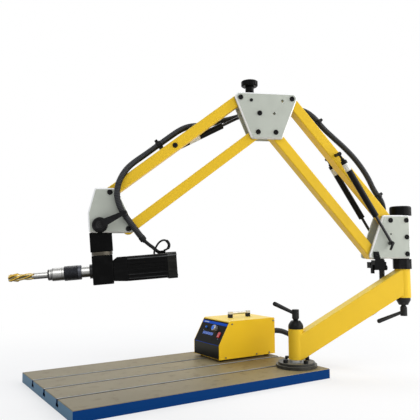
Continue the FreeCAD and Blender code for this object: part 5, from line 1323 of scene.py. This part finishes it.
class CableHose:
    """The corrugated hose that brings the motor's cable along the arm, with its last thin cable.

    A stop on a beam is a pair: how far along it from its right-hand pivot, and how far off its axis.
    """

    gland_mouth = (20.0, 45.0, 77.0)
    ring_right = 7.0
    ring_drop = 55.0
    right_stops = ((75.0, 52.0), (425.0, 52.0))
    right_back = 30.0
    left_stop = (320.0, 36.0)
    plug_in_head = (186.0, 0.0, -102.0)
    rib_height = 0.9
    end_trim = 0.5
    cable_trim = 0.3
    cuff_length = 20.0
    cuff_outline = (
        (10.5, -14.0), (11.0, -13.2), (11.0, -1.2), (10.0, 0.4), (7.2, 1.6), (6.9, 6.0), (6.2, 6.8))

    def __init__(self, layout: ArmLayout) -> None:
        """Work out the places that the hose passes."""
        self.layout = layout
        self.shoulder = (layout.shoulder_top[0], layout.hose_back, layout.shoulder_top[1])
        self.ring = layout.shift(self.shoulder, self.ring_right, 0.0, -layout.link_drop - self.ring_drop)
        self.head = (layout.head_top[0], layout.hose_front, layout.head_top[2])
        self.low_clip, self.high_clip = (self.behind_right_beam(*stop) for stop in self.right_stops)
        self.left_clip = layout.on_left_beam(*self.left_stop)
        self.leave = layout.shift(self.ring, -148, 68, -226)
        self.skin = TubeSkin(radius=layout.hose_radius + self.rib_height, groove=1.7, pitch=5.2,
                             sides=20, finish=Finish.HOSE)

    def behind_right_beam(self, distance: float, off: float) -> Place:
        """A place behind the upper right beam, where the hose runs."""
        return self.layout.shift(self.layout.on_right_beam(distance, off), 0.0, self.right_back)

    def past(self, base: Place, *offsets: Place) -> list[Place]:
        """Places given by how far they lie from a base."""
        return [self.layout.shift(base, *offset) for offset in offsets]

    def from_box(self) -> list[Place]:
        """From the control box's gland, behind the base arm and up to the hanger's ring."""
        mouth = self.layout.from_box(*self.gland_mouth)
        c, s = heading(self.layout.arm_turn)
        return [
            *self.past(mouth, (0, 0, 0), (40 * c, 40 * s, 0), (84, 12, -22), (124, -18, -40),
                       (150, -64, -42), (186, -110, -28)),
            self.leave,
            *self.past(self.ring, (-102, 34, -194), (-56, 13, -168), (-16, 4, -144), (1, 0, -104),
                       (0, -1, -54), (0, 0, -8), (0, 0, 24))]

    def to_elbow(self) -> list[Place]:
        """Behind the shoulder, over the right beam's clips and behind the elbow."""
        over_beam = ((99, 52), (155, 68), (225, 74), (285, 70), (345, 60), (399, 52), (451, 52))
        return [
            *self.past(self.ring, (0, 0, 54)),
            *self.past(self.shoulder, (21, 0, -74), (24, 0.5, -26), (22, 1, 20)),
            *self.past(self.low_clip, (17, 1, -21)),
            *(self.behind_right_beam(*stop) for stop in over_beam),
            *self.past(self.layout.elbow_right, (72, 50, -14), (28, 74, -2), (-26, 80, -7),
                       (-78, 80, -16), (-130, 80, -25))]

    def to_left_clip(self) -> list[Place]:
        """From behind the elbow down to the left beam and through its clip."""
        on_beam = ((292, 36), (346, 36), (378, 36))
        return [
            *self.past(self.layout.elbow_left, (2, 80, -45), (-54, 84, -57)),
            *self.past(self.left_clip, (168, 82, 88), (122, 48, 80), (78, 16, 60)),
            *(self.layout.on_left_beam(*stop) for stop in on_beam)]

    def to_motor(self) -> list[Place]:
        """From the left beam, over the front of the head and down to the motor."""
        return self.past(self.head, (66, 38, 94), (42, 18, 62), (25, 4, 24), (22, 0, -16), (33, 0, -52),
                         (51, 0, -80), (70, 0, -106), (93, 5, -136), (110, 15, -157))

    def cable(self) -> list[Place]:
        """The thin cable that leaves the hose's end for the motor's connector."""
        plug = self.layout.in_head(*self.plug_in_head)
        return self.past(self.head, (104, 11.5, -149.5), (110, 15, -157), (126, 23, -170.5),
                         (142, 32, -181)) + self.past(plug, (-11, -9, 6), (0, 0, 0))

    def loop(self) -> list[Place]:
        """The small free loop from the connector's top back down to the motor."""
        in_head = (
            (203, 4, -97.5), (211, 1, -95), (218, -4, -91), (222, -7, -80), (215, -10, -66),
            (201, -13, -62), (186, -17, -70), (176, -20, -84), (169, -22, -97), (168, -22, -107))
        return [self.layout.in_head(*place) for place in in_head]

    def runs(self) -> list[HoseRun]:
        """The hose's lengths in order, each with the place where it ends."""
        go, elbow = self.layout.shift, self.layout.elbow_right
        return [
            HoseRun("hose_box_to_arm", self.leave, ("table_and_box", "base_arm")),
            HoseRun("hose_arm_to_shoulder", go(self.ring, 0, 0, -20), ("base_arm", "shoulder"),
                    "hose_lower"),
            HoseRun("hose_at_shoulder", go(self.shoulder, 24, 0.5, -26), ("shoulder",)),
            HoseRun("hose_shoulder_to_beam", self.low_clip, ("shoulder", "upper_right")),
            HoseRun("hose_on_right_beam", self.high_clip, ("upper_right",), "hose_right"),
            HoseRun("hose_beam_to_elbow", go(elbow, -60, 80, -13), ("upper_right", "elbow")),
            HoseRun("hose_elbow_to_beam", go(self.left_clip, 14, 0, 10), ("elbow", "upper_left"),
                    "hose_left"),
            HoseRun("hose_beam_to_head", go(self.head, 25, 4, 24), ("upper_left", "head")),
            HoseRun("hose_head_to_neck", go(self.head, 51, 0, -80), ("head", "neck")),
            HoseRun("hose_neck_to_motor", None, ("neck", "motor_head"), "hose_head"),
        ]

    def build(self) -> None:
        """Sweep the hose length by length, then its cable and loop."""
        route = self.from_box() + self.to_elbow() + self.to_left_clip() + self.to_motor()
        line = HoseLine("hose_line", route)
        LOG.info("hose line is %.0f mm long", line.length / MM)
        start = 0.0
        for run in self.runs():
            end = line.nearest(run.until) if run.until else line.length - self.end_trim * MM
            piece = self.skin.sweep(run.name, line, start, end)
            ends = line.at([start, end])
            if len(run.bodies) == 1:
                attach(piece, run.bodies[0])
            else:
                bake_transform(piece)
            if run.stands_for:
                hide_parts(run.stands_for)
            start = end
        self.thin_cables()
        self.cuff(line)

    def thin_cables(self) -> None:
        """Sweep the cable to the connector, and the small loop with its thicker shrunk-on sleeve.

        Each length is (name, line, radius, where it starts and ends as shares of the line).
        """
        motor, loop = HoseLine("motor_cable_line", self.cable()), HoseLine("loop_line", self.loop())
        lengths = (("motor_cable", motor, 5.8, 0.0, 1.0), ("loop_cable", loop, 3.2, 0.0, 0.995),
                   ("loop_cable_sleeve", loop, 4.9, 0.14, 0.40))
        for name, line, radius, start, end in lengths:
            skin = TubeSkin(radius, groove=0.0, pitch=6.0, sides=16, finish=Finish.CABLE)
            piece = skin.sweep(name, line, line.length * start, line.length * end - self.cable_trim * MM)
            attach(piece, "motor_head")

    def cuff(self, line: HoseLine) -> None:
        """The moulded end piece where the hose meets its thin cable."""
        tail, tip = line.at([line.length - self.cuff_length * MM, line.length - MM])
        matrix = moved(*tip) @ aimed((tip - tail).normalized()) @ Matrix.Scale(MM, 4)
        piece = Bench.turned("hose_end_cuff", self.cuff_outline, 32)
        Bench.settle(piece, matrix, Finish.CABLE, "black_plastic", "motor_head")


# ------------------------------------------------------------------ tap

@dataclass(frozen=True)
class SpiralTap:
    """The gold-coated tap: plain shank, then a threaded length with twisted chip flutes."""

    start: float = 141.8
    shank_radius: float = 10.0
    relief_radius: float = 9.2
    relief_length: float = 5.0
    shank_end: float = 188.8
    thread_radius: float = 14.0
    length: float = 75.0
    thread_length: float = 30.0
    neck_share: float = 0.76
    lap: float = 4.0
    lead: float = 9.0
    flutes: int = 4
    flute_depth: float = 0.52
    flute_sharpness: float = 1.3
    thread_depth: float = 0.075
    lead_depth: float = 0.30
    runout: float = 3.0
    twist: float = 215.0
    pitch: float = 2.5
    sides: int = 64

    def flute_share(self, angle: float) -> float:
        """How far a flute cuts in at an angle of the section, 0 on a land to 1 in a flute's middle."""
        wave = math.cos(angle * self.flutes)
        return max(0.0, wave * 0.5 + 0.5) ** self.flute_sharpness

    def build(self) -> None:
        """Model the shank and the fluted length and put them on the spindle."""
        self.build_shank()
        self.build_cutter()

    def build_shank(self) -> None:
        """A turned shank with a relief before the thread."""
        radius, relief = self.shank_radius, self.shank_end - self.relief_length
        piece = Bench.turned("tap_shank", [
            (radius - 0.5, self.start), (radius, self.start + 0.5), (radius, relief),
            (self.relief_radius, relief + 1.0), (self.relief_radius, self.shank_end + 2.0)])
        Bench.settle(piece, LAYOUT.spindle_matrix(), Finish.STEEL_TOOL, "gold_tap", "spindle")

    def build_cutter(self) -> None:
        """Extrude the fluted section in small turned steps, alternately over crests and roots."""
        piece = Bench.disc("tap_cutter", self.thread_radius, self.sides)
        for side in range(self.sides):
            share = 1 - self.flute_depth * self.flute_share(2 * math.pi * side / self.sides)
            Bench.pick_vertices(piece, lambda place, side=side: self.at_side(place, side))
            Bench.widen(share, share)
        bpy.ops.mesh.select_all(action="SELECT")
        bpy.ops.transform.translate(value=(0.0, 0.0, self.shank_end - self.lap))
        half_pitch = self.pitch / 2
        steps = int((self.length + self.lap) / half_pitch)
        size = 1.0
        for step in range(steps):
            wanted = self.scale_at(step, (step + 1) * half_pitch)
            Bench.push(half_pitch, wanted / size)
            size = wanted
            bpy.ops.transform.rotate(value=math.radians(self.twist / steps), orient_axis="Z",
                                     center_override=(0.0, 0.0, 0.0))
        Bench.close(piece)
        Bench.settle(piece, LAYOUT.spindle_matrix(), Finish.GOLD, "gold_tap", "spindle")
        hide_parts("tap")

    def scale_at(self, step: int, height: float) -> float:
        """The section's size at a step: a slim fluted neck, then thread crests and roots to the tip.

        Args:
            step: the step's number; odd ones are crests.
            height: how far above the section's start it ends.

        Returns:
            The size, as a share of the thread's radius.
        """
        left = self.length + self.lap - height
        threaded = min(1.0, max(0.0, (self.thread_length + self.runout - left) / self.runout))
        crest = 1.0 if step % 2 else 1.0 - self.thread_depth * threaded
        lead = 1.0 - self.lead_depth * max(0.0, 1.0 - left / self.lead)
        return (self.neck_share + (1.0 - self.neck_share) * threaded) * crest * lead

    def at_side(self, place: Vector, side: int) -> bool:
        """Whether a vertex of the round outline stands at one of its sides."""
        turn = math.atan2(place.x, place.y) / (2 * math.pi) * self.sides
        return abs((turn - side + self.sides / 2) % self.sides - self.sides / 2) < 0.25


# ------------------------------------------------------------------ small parts

@dataclass(frozen=True)
class SmallParts:
    """Labels, screw faces, a cap and a clip that the construction leaves plain, in millimetres.

    Outlines are (radius, height) pairs.
    """

    label_radius: float = 11.2
    label_edge: float = 0.15
    right_label: tuple[float, float] = (40.0, 67.0)
    left_label: tuple[float, float] = (63.0, 105.0)
    hub_face: float = -66.1
    hub_outline: Pairs = (
        (12.0, -0.5), (12.0, 1.0), (11.2, 1.6), (8.2, 1.6), (7.6, 0.5), (6.4, 0.5), (6.4, 3.0),
        (5.8, 3.6), (3.2, 3.6), (3.0, 1.2))
    sleeve_top: float = 128.3
    dome_outline: Pairs = (
        (25.2, 0.4), (25.8, 1.2), (25.8, 9.5), (24.8, 13.5), (22.4, 18.0), (19.0, 22.6),
        (16.6, 26.4), (15.2, 27.2), (9.0, 27.8))
    clip_size: Place = (10.0, 4.0, 31.0)
    clip_hang: float = -11.0
    clip_taper: float = 0.75
    clip_edge: float = 1.2
    clip_face: float = -64.3
    clip_lean: float = 24.0
    cap_face: float = 239.0
    cap_screw_reach: float = 34.0
    cap_screw_outline: Pairs = ((4.0, -0.5), (4.0, 0.9), (3.6, 1.3), (2.0, 1.3), (1.9, 0.2))

    def build(self) -> None:
        """Make every small part."""
        for name, side in (("front_spring_label", -1), ("rear_spring_label", 1)):
            self.label(name, side, *self.right_label, Finish.LABEL_RIGHT, "right_cylinders")
        self.label("left_spring_label", 0, *self.left_label, Finish.LABEL_LEFT, "left_cylinder")
        self.base_clamp_dome()
        self.tilt_hub_face()
        self.rod_end_clip()
        self.motor_cap_screws()

    def label(self, name: str, side: int, start: float, end: float, finish: Finish, body: str) -> None:
        """A foil label round a gas spring's cylinder.

        Args:
            name: the piece's name.
            side: which spring, as in the layout.
            start: how far from the spring's upper stud the label starts.
            end: where it ends.
            finish: the print on it.
            body: the body it moves with.
        """
        radius, edge = self.label_radius, self.label_radius - self.label_edge
        outline = ((edge, start), (radius, start + 0.2), (radius, end - 0.2), (edge, end))
        piece = Bench.turned(name, outline, 40)
        Bench.settle(piece, LAYOUT.gas_matrix(side), finish, "bright_steel", body)

    def base_clamp_dome(self) -> None:
        """The rounded cap over the base clamp's nut, up to the foot of its lever."""
        piece = Bench.turned("base_clamp_dome", self.dome_outline)
        matrix = LAYOUT.arm_matrix() @ moved(0.0, 0.0, self.sleeve_top)
        Bench.settle(piece, matrix, Finish.BLACK_OXIDE, "dark_iron", "base_clamp")

    def tilt_hub_face(self) -> None:
        """A washer ring and a socket screw on the front of the tilt lever's hub."""
        x, _, z = LAYOUT.tilt
        matrix = LAYOUT.arm_matrix() @ moved(x, self.hub_face, z) @ rotated(90.0, "X")
        piece = Bench.turned("tilt_hub_screw", self.hub_outline, 36)
        Bench.settle(piece, matrix, Finish.RUBBED_EDGE, "black_steel", "tilt_lever")

    def rod_end_clip(self) -> None:
        """The flat spring clip that holds the front rod's end on its stud."""
        piece = Bench.block("rod_end_clip", self.clip_size, (0.0, 0.0, self.clip_hang))
        Bench.pick_vertices(piece, lambda place: place.z < self.clip_hang)
        Bench.widen(self.clip_taper, 1.0)
        Bench.close(piece)
        Bench.round_edges(piece, self.clip_edge)
        x, _, z = LAYOUT.right_lower_stud
        matrix = LAYOUT.arm_matrix() @ moved(x, self.clip_face, z) @ rotated(self.clip_lean, "Y")
        Bench.settle(piece, matrix, Finish.BLACK_OXIDE, "black_steel", "right_rods")

    def motor_cap_screws(self) -> None:
        """Four socket screws in the corners of the motor's rear face."""
        for across in (-1, 1):
            for up in (-1, 1):
                middle = moved(self.cap_face, across * self.cap_screw_reach,
                               up * self.cap_screw_reach - LAYOUT.spindle_axis)
                name = f"motor_cap_screw_{across + 1}_{up + 1}"
                piece = Bench.turned(name, self.cap_screw_outline, 20)
                Bench.settle(piece, LAYOUT.head_matrix() @ middle @ rotated(90.0, "Y"),
                             Finish.BLACK_OXIDE, "black_steel", "motor_head")


# ------------------------------------------------------------------ camera and light

@dataclass(frozen=True)
class Viewpoint:
    """Where the camera stands and how it looks at the machine."""

    place: Place = (-0.888, -1.645, 0.431)
    bearing: float = -31.93
    pitch: float = 4.24
    roll: float = -0.52
    lens: float = 46.9
    sensor: float = 36.0

    def build(self) -> None:
        """Make the camera and hand it to the scene."""
        data = bpy.data.cameras.new("camera")
        data.lens = self.lens
        data.sensor_width = self.sensor
        data.sensor_fit = "HORIZONTAL"
        data.clip_start = 0.05
        camera = bpy.data.objects.new("camera", data)
        bpy.context.scene.collection.objects.link(camera)
        camera.matrix_world = (moved(*self.place) @ rotated(self.bearing, "Z")
                               @ rotated(90.0 + self.pitch, "X") @ rotated(self.roll, "Z"))
        bpy.context.scene.camera = camera


@dataclass(frozen=True)
class SoftLight:
    """One large soft lamp that looks at the machine's middle."""

    name: str
    place: Place
    size: float
    power: float
    target: Place = (0.2, 0.0, 0.5)

    def build(self) -> None:
        """Make the lamp."""
        data = bpy.data.lights.new(self.name, "AREA")
        data.shape = "SQUARE"
        data.size = self.size
        data.energy = self.power
        lamp = bpy.data.objects.new(self.name, data)
        bpy.context.scene.collection.objects.link(lamp)
        away = Vector(self.place) - Vector(self.target)
        lamp.matrix_world = moved(*self.place) @ aimed(away)


class Studio:
    """Plain pale floor, white surroundings and soft lamps."""

    lamps = (
        SoftLight("key_lamp", (-1.6, -2.2, 2.9), 1.8, 22.0),
        SoftLight("fill_lamp", (2.4, -1.8, 1.6), 2.0, 52.0),
        SoftLight("front_lamp", (1.1, -3.5, 0.6), 2.2, 33.0),
        SoftLight("back_lamp", (0.4, 2.2, 2.4), 2.0, 34.0),
    )
    floor_size = 30.0
    fade_distance = 1.1
    near_fade = 0.55
    sky = (0.93, 0.95, 1.0, 1.0)
    sky_strength = 0.55

    def build(self) -> None:
        """Make the floor, the surroundings and the lamps."""
        bpy.context.scene.view_settings.view_transform = "Standard"
        self.floor()
        self.surroundings()
        for lamp in self.lamps:
            lamp.build()

    def floor(self) -> None:
        """A wide floor that keeps the machine's shadow and fades into white."""
        Bench.clear()
        bpy.ops.mesh.primitive_plane_add(size=self.floor_size)
        floor = bpy.context.object
        floor.name = "floor"
        sheet = NodeSheet(bpy.data.materials.new("pale_floor"))
        tone = sheet.blend(sheet.grain(2.0, 2.0), grey(0.86), grey(0.90))
        pale = sheet.node("ShaderNodeBsdfDiffuse", {}, {"Color": tone})
        white = sheet.node("ShaderNodeEmission", {}, {"Strength": 1.0})
        distance = sheet.node("ShaderNodeVectorMath", {"operation": "LENGTH"}, {0: sheet.place()},
                              output="Value")
        far = distance.above(self.fade_distance, self.fade_distance)
        fade = self.near_fade + far * (1 - self.near_fade)
        sheet.close(sheet.mix_shaders(fade * self.seen_directly(sheet), pale, white))
        floor.data.materials.append(sheet.owner)

    @staticmethod
    def seen_directly(sheet: NodeSheet) -> Signal:
        """Mask of what the viewer sees straight, mirrored or through glass."""
        rays = [sheet.node("ShaderNodeLightPath", output=name)
                for name in ("Is Camera Ray", "Is Glossy Ray", "Is Transmission Ray")]
        return (rays[0] + rays[1] + rays[2]).above(0.5, 0.2)

    def surroundings(self) -> None:
        """A world that is white to look at and lights the machine softly."""
        world = bpy.data.worlds.new("surroundings")
        bpy.context.scene.world = world
        sheet = NodeSheet(world)
        soft = sheet.node("ShaderNodeBackground", {}, {"Color": self.sky, "Strength": self.sky_strength})
        white = sheet.node("ShaderNodeBackground", {}, {"Color": grey(1.0), "Strength": 1.0})
        sheet.close(sheet.mix_shaders(self.seen_directly(sheet), soft, white), "ShaderNodeOutputWorld")


def main() -> None:
    """Build the scene in order: camera, hose, the new pieces, the finishes and the studio."""
    logging.basicConfig(level=logging.INFO, format="%(name)s: %(message)s")
    Viewpoint().build()
    CableHose(LAYOUT).build()
    SpiralTap().build()
    SmallParts().build()
    dress_nodes()
    Studio().build()
    Bench.clear()


if __name__ == "__main__":
    main()
